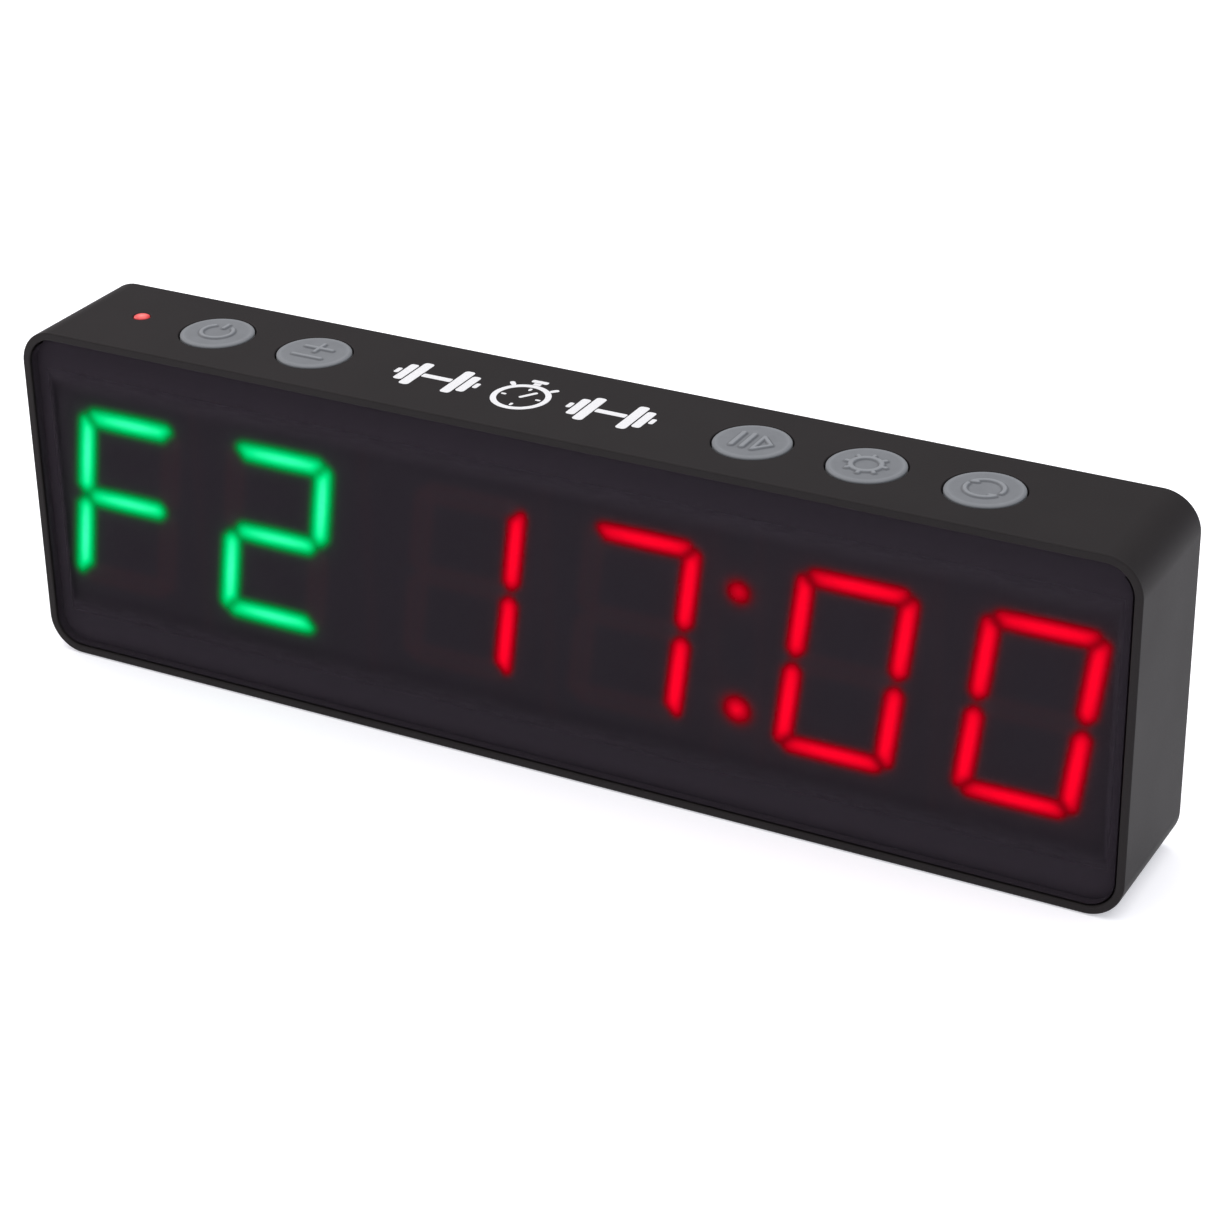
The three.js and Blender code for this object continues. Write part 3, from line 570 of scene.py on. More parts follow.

# diffuser film: a smoky sheet that the lit bars shine through, softly; its glow also carries a painted faint glow on
# the unlit bars and the walls between digits
FILM_GLOW = 1.0 / (1.0 - LENS_ALPHA) ** 2
film = Mat("diffuser_sheet", rough=0.75, spec=0.0, glow=FILM_GLOW)
light = film.node("ShaderNodeVertexColor")
light.layer_name = "light"
cover_n = film.node("ShaderNodeAttribute")
cover_n.attribute_name = "cover"
grain = film.noise(1.9, 3.0, 0.7)
lit_grain = film.node("ShaderNodeVectorMath")
lit_grain.operation = "SCALE"
film.t.links.new(light.outputs["Color"], lit_grain.inputs[0])
film.t.links.new(film.span(grain, 0.25, 0.75, 0.93, 1.07), lit_grain.inputs["Scale"])
film.set("Emission Color", lit_grain.outputs["Vector"])
film.set("Base Color", film.mix(cover_n.outputs["Fac"], (0.0296, 0.0250, 0.0314), (0.0, 0.0, 0.0)))
film.bump(grain, 0.003)
M_FILM = film.m


def lamp():
    m = Mat("indicator_lamp", spec=0.4, rough=0.3, glow=1.0)
    x, y, z = m.xyz()
    dx = m.math("SUBTRACT", x, INDICATOR[0])
    dy = m.math("SUBTRACT", y, INDICATOR[1])
    r = m.math("SQRT", m.math("ADD", m.math("MULTIPLY", dx, dx), m.math("MULTIPLY", dy, dy)))
    core = m.span(m.math("ADD", r, m.math("MULTIPLY", m.noise(1.5, 2.0), 0.35)), 0.25, 1.75, 1.0, 0.0)
    m.set("Base Color", m.mix(core, (0.30, 0.012, 0.015), (0.55, 0.06, 0.06)))
    m.set("Emission Color", m.mix(core, (0.32, 0.015, 0.018), (0.86, 0.24, 0.22)))
    return m.m


M_LAMP = lamp()

# ------------------------------------------------------------------ housing


def build_housing():
    ob = prism("housing_shell", outline(WIDTH, HEIGHT, CORNER_R, 28, 0, MID_Z), FRONT, BACK)
    pocket = prism("c1", outline(WIDTH - 2 * RIM, HEIGHT - 2 * RIM, CORNER_R - RIM, 24, 0, MID_Z), FRONT - 1, LEDGE_FRONT)
    boolean(ob, [pocket])
    boolean(ob, [prism("c2", outline(WINDOW_W, WINDOW_H, 3, 12, 0, MID_Z), FRONT, LEDGE_BACK + 1)])
    boolean(ob, [prism("c3", outline(WIDTH - 2 * WALL, HEIGHT - 2 * WALL, CORNER_R - WALL, 16, 0, MID_Z), LEDGE_BACK, RECESS_FLOOR + 0.5)])
    step = WALL - COVER_STEP
    boolean(ob, [prism("c4", outline(WIDTH - 2 * step, HEIGHT - 2 * step, CORNER_R - step, 24, 0, MID_Z), RECESS_FLOOR, BACK + 1)])
    holes = [prism("h", disc(KEY_HOLE_R, 96, x, 0), HEIGHT - WALL - 1, HEIGHT + 1, "Z") for x in KEY_X]
    holes.append(prism("h", disc(INDICATOR_R + 0.12, 48, *INDICATOR), HEIGHT - WALL - 1, HEIGHT + 1, "Z"))
    boolean(ob, holes)
    near = lambda a, b: abs(a - b) < 1e-3
    bevel_where(ob, lambda c: near(c.y, FRONT), 0.32, 4)
    bevel_where(ob, lambda c: near(c.y, BACK), 0.32, 4)
    bevel_where(ob, lambda c: near(c.z, HEIGHT) and abs(c.y) < 9, 0.28, 3)
    return shade(ob, 40)


housing = build_housing()
seat(housing, M_CASE, "case", ["front_housing"])

# ------------------------------------------------------------------ lens
LENS_W = WIDTH - 2 * RIM - 2 * LENS_GAP
LENS_H = HEIGHT - 2 * RIM - 2 * LENS_GAP
y0 = FRONT + LENS_SET_BACK
lens_ob = prism("lens_panel", outline(LENS_W, LENS_H, CORNER_R - RIM - LENS_GAP, 24, 0, MID_Z), y0, y0 + LENS_T)
bevel_where(lens_ob, lambda c: abs(c.y - y0) < 1e-3, 0.22, 3)
shade(lens_ob, 40)
seat(lens_ob, M_LENS, "case", ["front_lens"])
lens_ob.data.materials.append(M_LENS_BACK)
for face in lens_ob.data.polygons:
    face.material_index = int(face.center.y > (y0 + 0.25) * MM)

# ------------------------------------------------------------------ rear cover


def build_cover():
    step = WALL - COVER_STEP
    w, h = WIDTH - 2 * step - 2 * COVER_GAP, HEIGHT - 2 * step - 2 * COVER_GAP
    ob = prism("cover_plate", outline(w, h, CORNER_R - step - COVER_GAP, 24, 0, MID_Z), COVER_FRONT, BACK)
    cut = []
    for x, z in SCREW_AT:
        cut.append(prism("h", disc(2.9, 64, x, z), BACK - 1.7, BACK + 1))
    for x, z in MAGNET_AT:
        cut.append(prism("h", disc(MAGNET_R + 0.3, 96, x, z), BACK - 1.8, BACK + 1))
    cut.append(prism("h", outline(9.7, 4.0, 1.98, 12, *USB), COVER_FRONT - 1, BACK + 1))
    for i, half in enumerate(SLOT_HALF_H):
        cut.append(prism("h", outline(SLOT_W, 2 * half, SLOT_W / 2 - 0.01, 8, SPEAKER[0] + (i - 3) * SLOT_PITCH, SPEAKER[1]), COVER_FRONT - 1, BACK + 1))
    boolean(ob, cut)
    boolean(ob, [prism("h", disc(1.6, 32, x, z), COVER_FRONT - 1, BACK - 1.0) for x, z in SCREW_AT])
    bevel_where(ob, lambda c: abs(c.y - BACK) < 1e-3, 0.22, 3)
    return shade(ob, 40)


cover = build_cover()
seat(cover, M_COVER, "case", ["rear_cover"])


# ------------------------------------------------------------------ screws and magnets
def build_screw(name, x, z, head_y):
    """Pan head machine screw, its head's flat at head_y facing +Y, with a cross recess and thread rings."""
    prof = [(0, -9.8), (0.9, -9.8), (1.3, -9.3)]
    y = -9.2
    while y < -1.6:
        prof += [(1.3, y), (1.12, y + 0.18), (1.3, y + 0.36)]
        y += 0.5
    prof += [(1.3, -1.4), (2.6, -1.4), (2.6, -0.75), (2.5, -0.4), (2.2, -0.12), (1.8, 0.0), (0, 0.0)]
    ob = lathe(name, prof, 48, (x, head_y, z), "Y")
    a = prism("r1", [(x - 1.35, z - 0.33), (x + 1.35, z - 0.33), (x + 1.35, z + 0.33), (x - 1.35, z + 0.33)], head_y - 0.85, head_y + 1)
    b = prism("r2", [(x - 0.33, z - 1.35), (x + 0.33, z - 1.35), (x + 0.33, z + 1.35), (x - 0.33, z + 1.35)], head_y - 0.85, head_y + 1)
    boolean(a, [b], "UNION")
    boolean(ob, [a])
    return shade(ob, 35)


for i, (x, z) in enumerate(SCREW_AT):
    seat(build_screw(f"screw_{i + 1}", x, z, BACK - 0.1), M_STEEL, "case", [f"cover_screw_{i + 1}"])
for i, (x, z) in enumerate(MAGNET_AT):
    ob = lathe(
        f"magnet_disc_{i + 1}",
        [(0, -1.5), (MAGNET_R - 0.15, -1.5), (MAGNET_R, -1.35), (MAGNET_R, -0.28), (MAGNET_R - 0.08, -0.09), (MAGNET_R - 0.27, 0.0), (0, 0.0)],
        96, (x, BACK - 0.2, z), "Y",
    )
    seat(shade(ob, 30), M_NICKEL, "case", [f"magnet_{i + 1}"])


# ------------------------------------------------------------------ keys
def seg_dist(x, y, ax, ay, bx, by):
    px, py = x - ax, y - ay
    dx, dy = bx - ax, by - ay
    t = np.clip((px * dx + py * dy) / (dx * dx + dy * dy), 0, 1)
    return np.hypot(px - t * dx, py - t * dy)


def arc_dist(x, y, r, a0, a1):
    """Distance to an arc of radius r from angle a0 counter-clockwise to a1, in degrees, about the origin."""
    a = np.degrees(np.arctan2(y, x))
    span = (a1 - a0) % 360
    inside = ((a - a0) % 360) <= span
    ends = np.minimum(
        np.hypot(x - r * math.cos(math.radians(a0)), y - r * math.sin(math.radians(a0))),
        np.hypot(x - r * math.cos(math.radians(a1)), y - r * math.sin(math.radians(a1))),
    )
    return np.where(inside, np.abs(np.hypot(x, y) - r), ends)


def symbol(kind, x, y):
    """How far a point is outside the raised lines of a key's symbol, in millimetres; negative inside."""
    if kind == "power":
        d = arc_dist(x, y, 3.1, 90 + 40, 90 - 40 + 360) - 0.42
        return np.minimum(d, seg_dist(x, y, 0.2, 1.9, 0.25, 3.7) - 0.42)
    if kind == "plus_minus":
        d = seg_dist(x, y, -2.75, 1.65, 3.05, 1.65) - 0.46
        d = np.minimum(d, seg_dist(x, y, 0.15, -0.15, 0.15, 3.6) - 0.42)
        return np.minimum(d, seg_dist(x, y, -3.05, -2.6, 3.05, -2.6) - 0.42)
    if kind == "start_pause":
        d = seg_dist(x, y, -2.75, -3.0, -2.75, 2.4) - 0.52
        d = np.minimum(d, seg_dist(x, y, -0.65, -3.0, -0.65, 2.4) - 0.52)
        tri = [(1.45, 2.25), (1.45, -3.35), (4.0, -0.5)]
        edge = np.minimum.reduce([seg_dist(x, y, *tri[i], *tri[(i + 1) % 3]) for i in range(3)])
        return np.minimum(d, edge - 0.40)
    if kind == "settings":
        yy = y + 0.25
        r, a = np.hypot(x, yy), np.arctan2(yy, x)
        ring = np.abs(r - 2.75) - 0.50
        turn = (a + math.pi / 8) % (math.pi / 4) - math.pi / 8
        tooth = seg_dist(r * np.cos(turn), r * np.sin(turn), 2.9, 0, 3.75, 0) - 0.42
        return np.minimum(ring, tooth)
    d = arc_dist(x, y + 0.2, 3.45, -13, 150) - 0.42
    d = np.minimum(d, arc_dist(x, y + 0.2, 3.45, 168, 322) - 0.42)
    for a in (150, 322):
        # a small barb at the leading end of each arc
        c, s = math.cos(math.radians(a)), math.sin(math.radians(a))
        tip = (3.45 * c, 3.45 * s - 0.2)
        back_a = math.radians(a - 13)
        barb = (2.80 * math.cos(back_a), 2.80 * math.sin(back_a) - 0.2)
        d = np.minimum(d, seg_dist(x, y, *tip, *barb) - 0.40)
    return d


def build_key(kind, cx):
    n_a = 240
    face_r = KEY_R - 0.62
    radii = np.concatenate([np.linspace(0.1, face_r, 68)])
    ang = np.linspace(0, 2 * math.pi, n_a, endpoint=False)
    verts = [(cx, 0.0, 0.0)]
    face_z, raise_z = KEY_TOP - 0.42, 0.36
    R, A = np.meshgrid(radii, ang, indexing="ij")
    X, Y = R * np.cos(A), R * np.sin(A)

    def height(x, y):
        r = np.hypot(x, y)
        dish = face_z + 0.04 * (r / face_r) ** 4
        d = symbol(kind, x, y)
        t = np.clip((0.15 - d) / 0.34, 0, 1)
        return dish + raise_z * t * t * (3 - 2 * t)

    Z = height(X, Y)
    verts[0] = (cx, 0.0, float(height(np.array(0.0), np.array(0.0))))
    for i in range(len(radii)):
        verts += list(zip(X[i] + cx, Y[i], Z[i]))
    # rounded shoulder, straight side, flange and the hollow underside with its boss
    shoulder = []
    z_edge = face_z + 0.04
    for t in np.linspace(0.12, 1, 9):
        a = math.pi / 2 * (1 - t)
        shoulder.append((face_r + (KEY_R - face_r) * math.cos(a), z_edge - 0.42 * (1 - math.sin(a)) + 0.0))
    prof = shoulder + [
        (KEY_R, 69.2), (KEY_R, 68.1), (KEY_R + 0.1, 67.85), (KEY_R + 0.35, 67.7), (KEY_FLANGE_R - 0.15, 67.7), (KEY_FLANGE_R, 67.55),
        (KEY_FLANGE_R, 67.05), (KEY_FLANGE_R - 0.15, KEY_BASE_Z), (6.3, KEY_BASE_Z), (6.1, 67.1), (6.1, 68.3), (5.9, 68.5), (2.6, 68.5),
        (2.4, 68.3), (2.4, 67.05), (2.25, KEY_BASE_Z), (0, KEY_BASE_Z),
    ]
    for r, z in prof[:-1]:
        verts += [(cx + r * math.cos(a), r * math.sin(a), z) for a in ang]
    verts.append((cx, 0.0, KEY_BASE_Z))
    n_rings = len(radii) + len(prof) - 1
    faces = [(0, 1 + i, 1 + (i + 1) % n_a) for i in range(n_a)]
    for k in range(n_rings - 1):
        a, b = 1 + k * n_a, 1 + (k + 1) * n_a
        faces += [(a + i, b + i, b + (i + 1) % n_a, a + (i + 1) % n_a) for i in range(n_a)]
    a = 1 + (n_rings - 1) * n_a
    last = len(verts) - 1
    faces += [(a + i, last, a + (i + 1) % n_a) for i in range(n_a)]
    ob = new_object(kind + "_key_cap", verts, faces)
    fix_normals(ob)
    # painted light for the silicone: shade on the slopes of each symbol, highlight on its tops and towards the rim of
    # the face
    painted_relief_light = np.zeros(len(verts), np.float32)
    d = symbol(kind, X.ravel(), Y.ravel())
    r = np.hypot(X.ravel(), Y.ravel())
    slope_shade = np.exp(-(((d - 0.12) / 0.20) ** 2))
    top = np.clip((0.05 - d) / 0.15, 0, 1)
    painted_relief_light[1 : 1 + X.size] = 0.5 - 0.36 * slope_shade + 0.40 * top + 0.22 * np.clip((r - face_r + 0.9) / 0.9, 0, 1) ** 2
    painted_relief_light[0] = 0.5
    painted_relief_light[1 + X.size :] = 0.6
    ob.data.attributes.new("painted_relief_light", "FLOAT", "POINT").data.foreach_set("value", np.clip(painted_relief_light, 0, 1))
    return shade(ob, 60, weighted=False)


for i, kind in enumerate(KEYS):
    seat(build_key(kind, KEY_X[i]), M_KEY, kind + "_key", [kind + "_button"])

# ------------------------------------------------------------------ indicator lamp
ob = lathe(
    "indicator_dome",
    [(0, 64.3), (1.3, 64.3), (1.3, 66.8), (2.6, 66.8), (2.6, 67.7), (INDICATOR_R, 67.7), (INDICATOR_R, 69.75), (1.55, 69.93), (1.35, 70.05),
     (1.0, 70.11), (0.5, 70.14), (0, 70.15)],
    48, (INDICATOR[0], INDICATOR[1], 0),
)
seat(shade(ob, 40, weighted=False), M_LAMP, "case", ["indicator_light_pipe"])

# ------------------------------------------------------------------ charging inlet
ob = prism("inlet_shell", outline(8.94, 3.26, 1.62, 16, *USB), 2.7, BACK - 0.3)
boolean(ob, [prism("c", outline(8.34, 2.66, 1.32, 16, *USB), 1.5, BACK + 1)])
bevel_where(ob, lambda c: abs(c.y - (BACK - 0.3)) < 1e-3, 0.1, 3)
seat(shade(ob, 35), M_SHELL, "case", ["usb_socket_shell"])

# ------------------------------------------------------------------ the lit display
def bars():
    """The outline of each bar about the digit's centre, upright: mitred where bars meet, as in the CAD."""
    s, top_z, g = SEG_HALF, SEG_Z, 0.5 * math.sqrt(0.5)
    k = SEG_Z - SEG_X
    top = [
        (-(SEG_Z - s - k - g), top_z - s), (SEG_Z - s - k - g, top_z - s), (SEG_X + 0.55 - g / 2, top_z + 0.55 + g / 2),
        (SEG_X + 0.3, top_z + s - 0.35), (SEG_X - 0.5, top_z + s), (-(SEG_X - 0.5), top_z + s), (-(SEG_X + 0.3), top_z + s - 0.35),
        (-(SEG_X + 0.55 - g / 2), top_z + 0.55 + g / 2),
    ]
    middle = [
        (-(SEG_X - s - g), -s + 0.05), (SEG_X - s - g, -s + 0.05), (SEG_X - 0.45 - g, -0.4), (SEG_X - 0.45 - g, 0.4),
        (SEG_X - s - g, s - 0.05), (-(SEG_X - s - g), s - 0.05), (-(SEG_X - 0.45 - g), 0.4), (-(SEG_X - 0.45 - g), -0.4),
    ]
    upright = [
        (SEG_X - s, s + g + 0.1), (SEG_X - 0.45, 0.3 + g), (SEG_X + 0.45, 0.3 + g), (SEG_X + s, s + g + 0.1),
        (SEG_X + s, top_z - 0.6), (SEG_X + s - 0.35, top_z + 0.25), (SEG_X + 0.55 + g / 2, top_z + 0.55 - g / 2), (SEG_X - s, top_z - s - g),
    ]
    over = lambda q: [(-x, z) for x, z in reversed(q)]
    down = lambda q: [(x, -z) for x, z in reversed(q)]
    return {"a": top, "b": upright, "c": down(upright), "d": down(top), "e": down(over(upright)), "f": over(upright), "g": middle}


def outside(poly, X, Z):
    """Signed distance to a polygon, positive outside."""
    d = np.full(X.shape, 1e9)
    inside = np.zeros(X.shape, bool)
    for (ax, az), (bx, bz) in zip(poly, poly[1:] + poly[:1]):
        d = np.minimum(d, seg_dist(X, Z, ax, az, bx, bz))
        cross = (az > Z) != (bz > Z)
        with np.errstate(divide="ignore", invalid="ignore"):
            x_at = ax + (Z - az) * (bx - ax) / (bz - az if bz != az else 1e-12)
        inside ^= cross & (X < x_at)
    return np.where(inside, -d, d)


def glow_field(X, Z):
    """Light through the film at points of the display plane: green, red and a painted faint glow on the unlit bars,
    each 0 to about 1.
    """
    green, red, faint = np.zeros_like(X), np.zeros_like(X), np.zeros_like(X)
    shapes = bars()
    for n, lit in enumerate(LIT):
        zz = Z - DIGIT_Z
        xx = X - DIGIT_X[n] - SLANT * zz
        near = (np.abs(xx) < 20) & (np.abs(zz) < 28)
        px, pz = xx[near], zz[near]
        is_green = n < 2
        width = 1.68 if is_green else 1.43
        total, painted_ghost_glow = np.zeros_like(px), np.zeros_like(px)
        for name, poly in shapes.items():
            d = outside(poly, px, pz)
            c = np.mean(poly, axis=0)
            flat_bar = name in "agd"
            half = {"a": 8.2, "d": 8.2, "g": 7.3}.get(name, 6.9)
            ax, az = (half, 0.0) if flat_bar else (0.0, half)
            cx, cz = (0.0, {"a": SEG_Z, "g": 0.0, "d": -SEG_Z}[name]) if flat_bar else (math.copysign(SEG_X, c[0]), c[1])
            d = np.maximum(d, seg_dist(px, pz, cx - ax, cz - az, cx + ax, cz + az) - SEG_HALF)
            # unlit bars get a painted faint glow, standing in for the light they catch behind the film
            if name not in lit:
                body = np.clip(0.5 - d / 0.9, 0, 1)
                edge = np.exp(-((d + 0.1) / 0.55) ** 2)
                painted_ghost_glow = np.maximum(painted_ghost_glow, 0.55 * body + 0.75 * edge)
                continue
            u = np.clip(SEG_HALF + d, 0, None)
            fall = np.exp(-((u / width) ** 2.55))
            along = (px - cx - 0.8) / 9.3 if flat_bar else (pz - cz) / 7.6
            dim = 1 - (0.30 if flat_bar else 0.18) * np.clip(np.abs(along), 0, 1.35) ** 2.2
            # the lamp under each bar leaves a narrow brighter streak along its middle
            streak = 0.10 * np.exp(-((u / 0.55) ** 2)) * np.clip(1 - np.abs(along) ** 2, 0, 1)
            bar = (1.12 if flat_bar else 1.18) * fall * dim + (streak if is_green else 0.3 * streak)
            total = np.where(total > bar, total + 0.45 * bar * (1 - np.clip(total, 0, 1)), bar + 0.45 * total * (1 - np.clip(bar, 0, 1)))
            total += 0.0045 * np.exp(-np.clip(d, 0, None) / 2.2)
        (green if is_green else red)[near] += total
        faint[near] = np.maximum(faint[near], painted_ghost_glow)
    for dx, dz in COLON_DOTS:
        r = np.hypot(X - COLON_X - dx, Z - DIGIT_Z - dz)
        speckle = 1 + 0.10 * np.sin(3.1 * X + 1.3) * np.sin(2.7 * Z + 0.4)
        peak, wide = (0.72, 1.75) if dz > 0 else (0.98, 2.0)
        red += peak * speckle * np.exp(-((r / wide) ** 2.1)) + 0.02 * np.exp(-r / 2.4)
    # the walls between neighbouring digits catch a little light
    for x in (-77.6, -39.1, 0.0, 34.6, 43.4, 77.6):
        faint = np.maximum(faint, 0.28 * np.exp(-(((X - x - SLANT * 0.0) / 1.1) ** 2)) * (np.abs(Z - DIGIT_Z) < 24))
    return green, red, faint


def soften(field, sigma):
    """A Gaussian blur of a 2-D grid, sigma in cells."""
    k = np.arange(-6, 7)
    w = np.exp(-0.5 * (k / sigma) ** 2)
    w /= w.sum()
    for axis in (0, 1):
        field = sum(wi * np.roll(field, ki, axis) for wi, ki in zip(w, k))
    return field


def build_film():
    w, h = WINDOW_W - 1, WINDOW_H - 1
    front, back = DIGIT_FRONT - 0.35, DIGIT_FRONT - 0.1
    nx, nz = 520, 134
    xs, zs = np.linspace(-w / 2, w / 2, nx), np.linspace(MID_Z - h / 2, MID_Z + h / 2, nz)
    X, Z = np.meshgrid(xs, zs, indexing="ij")
    fields = [soften(f, 0.5 / (xs[1] - xs[0])) for f in glow_field(X, Z)]
    r = 2.5
    ox, oz = w / 2 - r, h / 2 - r
    ux, uz = np.clip(np.abs(X) - ox, 0, None), np.clip(np.abs(Z - MID_Z) - oz, 0, None)
    d = np.hypot(ux, uz)
    k = np.where((ux > 0) & (uz > 0) & (d > r), r / np.maximum(d, 1e-9), 1.0)
    X = np.where(k < 1, np.sign(X) * (ox + ux * k), X)
    Z = np.where(k < 1, MID_Z + np.sign(Z - MID_Z) * (oz + uz * k), Z)
    verts = [(x, front, z) for x, z in zip(X.ravel(), Z.ravel())]
    at = lambda i, j: i * nz + j
    faces = [(at(i, j), at(i + 1, j), at(i + 1, j + 1), at(i, j + 1)) for i in range(nx - 1) for j in range(nz - 1)]
    loop = [at(i, 0) for i in range(nx)] + [at(nx - 1, j) for j in range(1, nz)] + [at(i, nz - 1) for i in range(nx - 2, -1, -1)] + [at(0, j) for j in range(nz - 2, 0, -1)]
    base = len(verts)
    verts += [(verts[i][0], back, verts[i][2]) for i in loop]
    m = len(loop)
    faces += [(loop[i], base + i, base + (i + 1) % m, loop[(i + 1) % m]) for i in range(m)]
    faces.append(tuple(base + i for i in range(m)))
    ob = new_object("film_sheet", verts, faces)
    me = ob.data
    green, red, faint = (f.ravel() for f in fields)
    n = len(red)
    col = np.zeros((len(verts), 4), np.float32)
    t = np.clip(green, 0, 1.25)
    g = np.stack([0.055 * np.clip((t - 0.85) / 0.35, 0, 1) ** 1.5, np.clip(t, 0, 1) * 0.98, 0.17 * t + 0.19 * t**3], 1)
    t = np.clip(red, 0, 1.1)
    rr = np.stack([t * 0.98, 0.0008 * t, 0.019 * t], 1)
    # painted glow: a faint warm light on the unlit bars and the digit walls, kept only away from the lit bars
    dark = np.clip(1 - 6 * (green + red), 0, 1)
    painted_ghost_glow = (faint * dark)[:, None] * np.array([[0.0085, 0.0019, 0.0018]])
    col[:n, :3] = g + rr + painted_ghost_glow
    col[:, 3] = 1
    layer = me.color_attributes.new("light", "FLOAT_COLOR", "POINT")
    layer.data.foreach_set("color", col.ravel())
    cov = np.zeros(len(verts), np.float32)
    cov[:n] = np.clip((red + green) * 5.0, 0, 1)
    a = me.attributes.new("cover", "FLOAT", "POINT")
    a.data.foreach_set("value", cov)
    fix_normals(ob)
    return shade(ob, 40, weighted=False)


seat(build_film(), M_FILM, "case", ["diffuser_film"])


# ------------------------------------------------------------------ pictograms printed on the top, in place of a mark
def flat(name, pts, z0=70.004, z1=70.03):
    return prism(name, pts, z0, z1, "Z")


def ring_pts(cx, cy, r_out, r_in, n=96, a0=0.0, a1=360.0):
    a = [math.radians(a0 + (a1 - a0) * i / n) for i in range(n + 1)]
    return [(cx + r_out * math.cos(t), cy + r_out * math.sin(t)) for t in a] + [(cx + r_in * math.cos(t), cy + r_in * math.sin(t)) for t in reversed(a)]


def bar_pts(ax, ay, bx, by, w):
    d = Vector((bx - ax, by - ay)).normalized()
    n = Vector((-d.y, d.x)) * w / 2
    out = []
    base = math.atan2(n.y, n.x)
    for i in range(9):
        t = base + math.pi * i / 8
        out.append((ax + w / 2 * math.cos(t), ay + w / 2 * math.sin(t)))
    for i in range(9):
        t = base + math.pi + math.pi * i / 8
        out.append((bx + w / 2 * math.cos(t), by + w / 2 * math.sin(t)))
    return out


def build_print():
    cx, cy = -10.7, 0.0
    parts = []
    # stopwatch: case ring in two halves, crown, two pushers, hand and quarter marks
    w_y = cy - 0.8
    parts += [ring_pts(cx, w_y, 5.7, 4.55, 48, 0.0, 180.0), ring_pts(cx, w_y, 5.7, 4.55, 48, 180.0, 360.0)]
    parts.append([(cx - 0.75, w_y + 5.8), (cx + 0.75, w_y + 5.8), (cx + 0.75, w_y + 6.7), (cx - 0.75, w_y + 6.7)])
    parts.append(outline(3.4, 1.15, 0.4, 6, cx, w_y + 7.4))
    for s in (-1, 1):
        a = math.radians(90 - s * 42)
        parts.append(bar_pts(cx + 6.15 * math.cos(a), w_y + 6.15 * math.sin(a), cx + 7.0 * math.cos(a), w_y + 7.0 * math.sin(a), 1.0))
    parts.append(bar_pts(cx, w_y, cx + 1.75, w_y + 2.6, 0.8))
    for k in range(4):
        a = math.radians(90 * k)
        parts.append(bar_pts(cx + 3.35 * math.cos(a), w_y + 3.35 * math.sin(a), cx + 3.85 * math.cos(a), w_y + 3.85 * math.sin(a), 0.6))
    # a dumbbell on each side
    for s in (-1, 1):
        dx = cx + s * 18.4
        parts.append(outline(6.3, 1.5, 0.3, 4, dx, cy))
        for e in (-1, 1):
            parts.append(outline(2.1, 10.4, 0.7, 6, dx + e * 4.45, cy))
            parts.append(outline(1.8, 7.2, 0.6, 6, dx + e * 6.75, cy))
            parts.append(outline(1.0, 2.2, 0.4, 6, dx + e * 8.5, cy))
    return join("top_print", [flat(f"p{i}", p) for i, p in enumerate(parts)])


seat(shade(build_print(), 40, weighted=False), M_INK, "case")

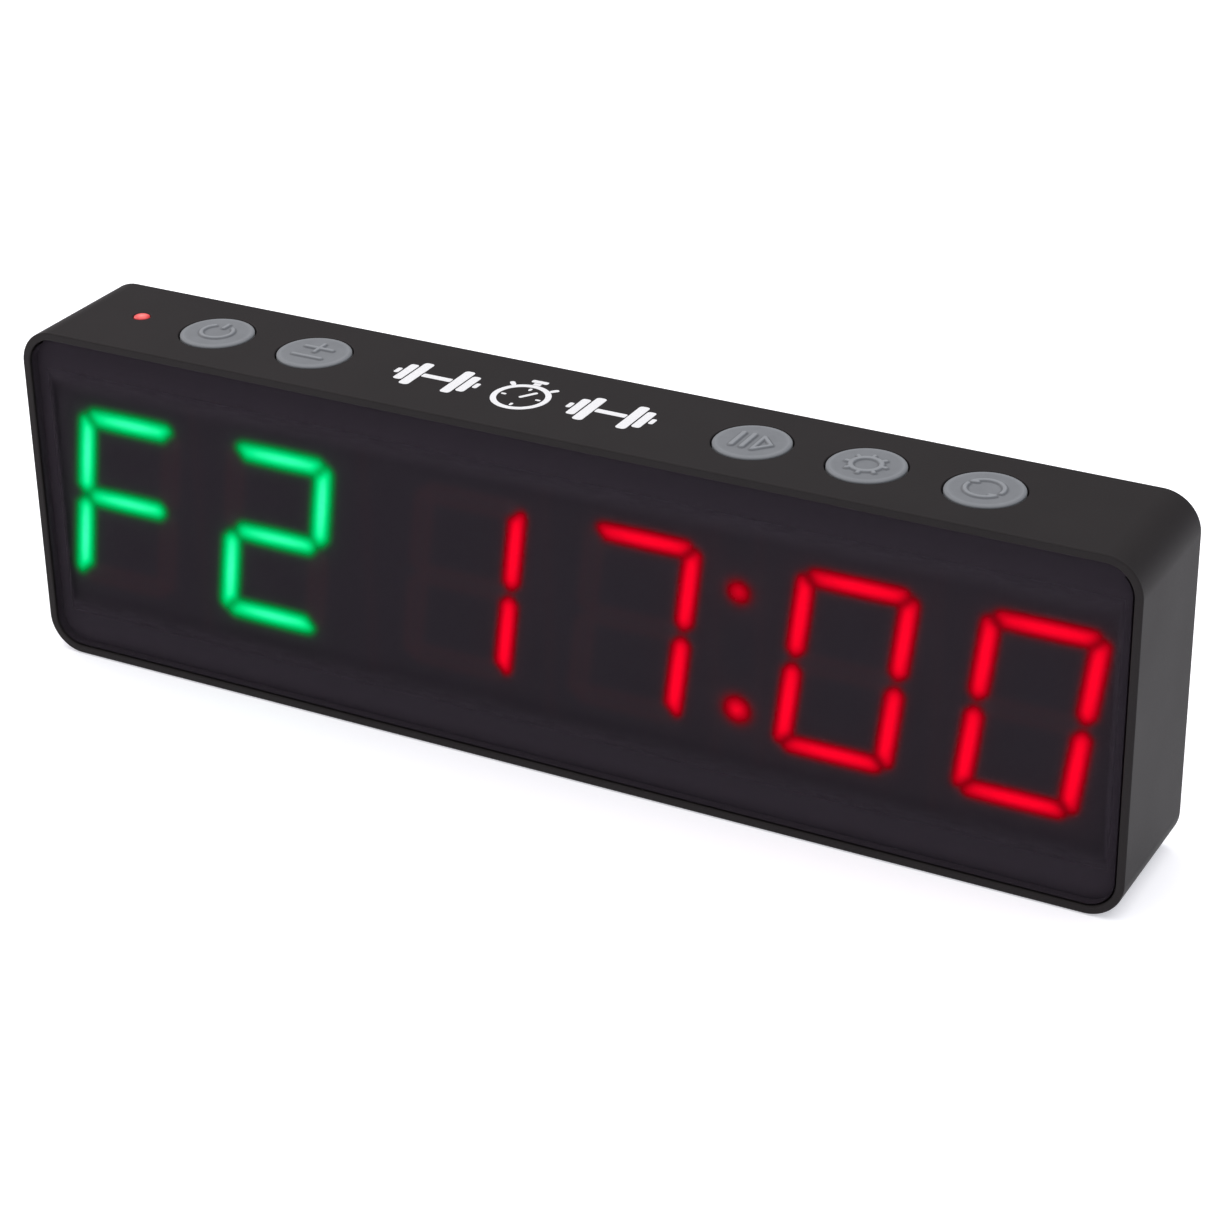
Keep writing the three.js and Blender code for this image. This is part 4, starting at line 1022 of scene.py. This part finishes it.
# ------------------------------------------------------------------ CAD nodes that stay, with better materials
KEEP = {
    "lens_tape": M_TAPE,
    "colon_case": M_DIGIT_CASE, "colon_dots": M_RESIN,
    "display_board": M_BOARD, "button_board": M_BOARD,
    "control_chip": M_CHIP, "driver_chip": M_CHIP,
    "indicator_led": M_CONNECTOR,
    "battery_cell": M_FOIL, "battery_leads": M_WIRE, "battery_plug": M_CONNECTOR, "battery_header": M_CONNECTOR,
    "button_ribbon": M_FLEX,
    "usb_socket_tongue": M_CHIP,
    "speaker_frame": M_BASKET, "speaker_cone": M_CONE, "speaker_gasket": M_GASKET,
    "board_screw_1": M_STEEL, "board_screw_2": M_STEEL,
}
for i in range(1, 7):
    KEEP[f"digit_{i}_case"] = M_DIGIT_CASE
    KEEP[f"digit_{i}_segments"] = M_RESIN
for i in range(1, 6):
    KEEP[f"switch_body_{i}"] = M_SWITCH
    KEEP[f"switch_plunger_{i}"] = M_PLUNGER
for name, m in KEEP.items():
    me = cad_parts[name].data
    me.materials.clear()
    me.materials.append(m)

# ------------------------------------------------------------------ floor and light
floor_m = Mat("floor_paper", rough=0.8, spec=0.1, glow=0.45, glow_color=(0.95, 0.95, 1.0))
floor_m.set("Base Color", floor_m.mix(floor_m.noise(0.004, 3.0), (0.84, 0.84, 0.86), (0.87, 0.87, 0.885)))
floor_ob = new_object("floor", [(-6, -6, -0.0002), (6, -6, -0.0002), (6, 6, -0.0002), (-6, 6, -0.0002)], [(0, 1, 2, 3)])
floor_ob.data.materials.append(floor_m.m)

world = bpy.data.worlds.new("studio")
scene.world = world
world.use_nodes = True
bg = world.node_tree.nodes["Background"]
bg.inputs[0].default_value = (0.96, 0.97, 1.0, 1.0)
bg.inputs[1].default_value = 0.32


def area(name, at, target, size, power, color=(1, 1, 1)):
    d = bpy.data.lights.new(name, "AREA")
    d.shape, d.size, d.size_y, d.energy, d.color = "RECTANGLE", size[0], size[1], power, color
    o = bpy.data.objects.new(name, d)
    scene.collection.objects.link(o)
    o.location = at
    o.rotation_mode = "QUATERNION"
    o.rotation_quaternion = (Vector(target) - Vector(at)).to_track_quat("-Z", "Y")
    return o


area("overhead", (0.0, 0.1, 1.6), (0, 0, 0), (2.4, 2.4), 33.0, (1.0, 0.985, 0.98))
area("right_fill", (1.5, 0.5, 0.7), (0, 0, 0.03), (1.2, 1.0), 3.5, (0.80, 0.89, 1.0))
area("left_fill", (-1.5, 0.3, 0.9), (0, 0, 0.03), (1.0, 0.8), 7.0, (1.0, 0.95, 0.93))
area("front_fill", (-0.6, -1.6, 0.9), (0, 0, 0.03), (1.4, 0.9), 4.0, (0.96, 0.98, 1.0))

scene.view_settings.view_transform = "Standard"
scene.view_settings.look = "None"
scene.view_settings.exposure = 0.0
scene.view_settings.gamma = 1.0
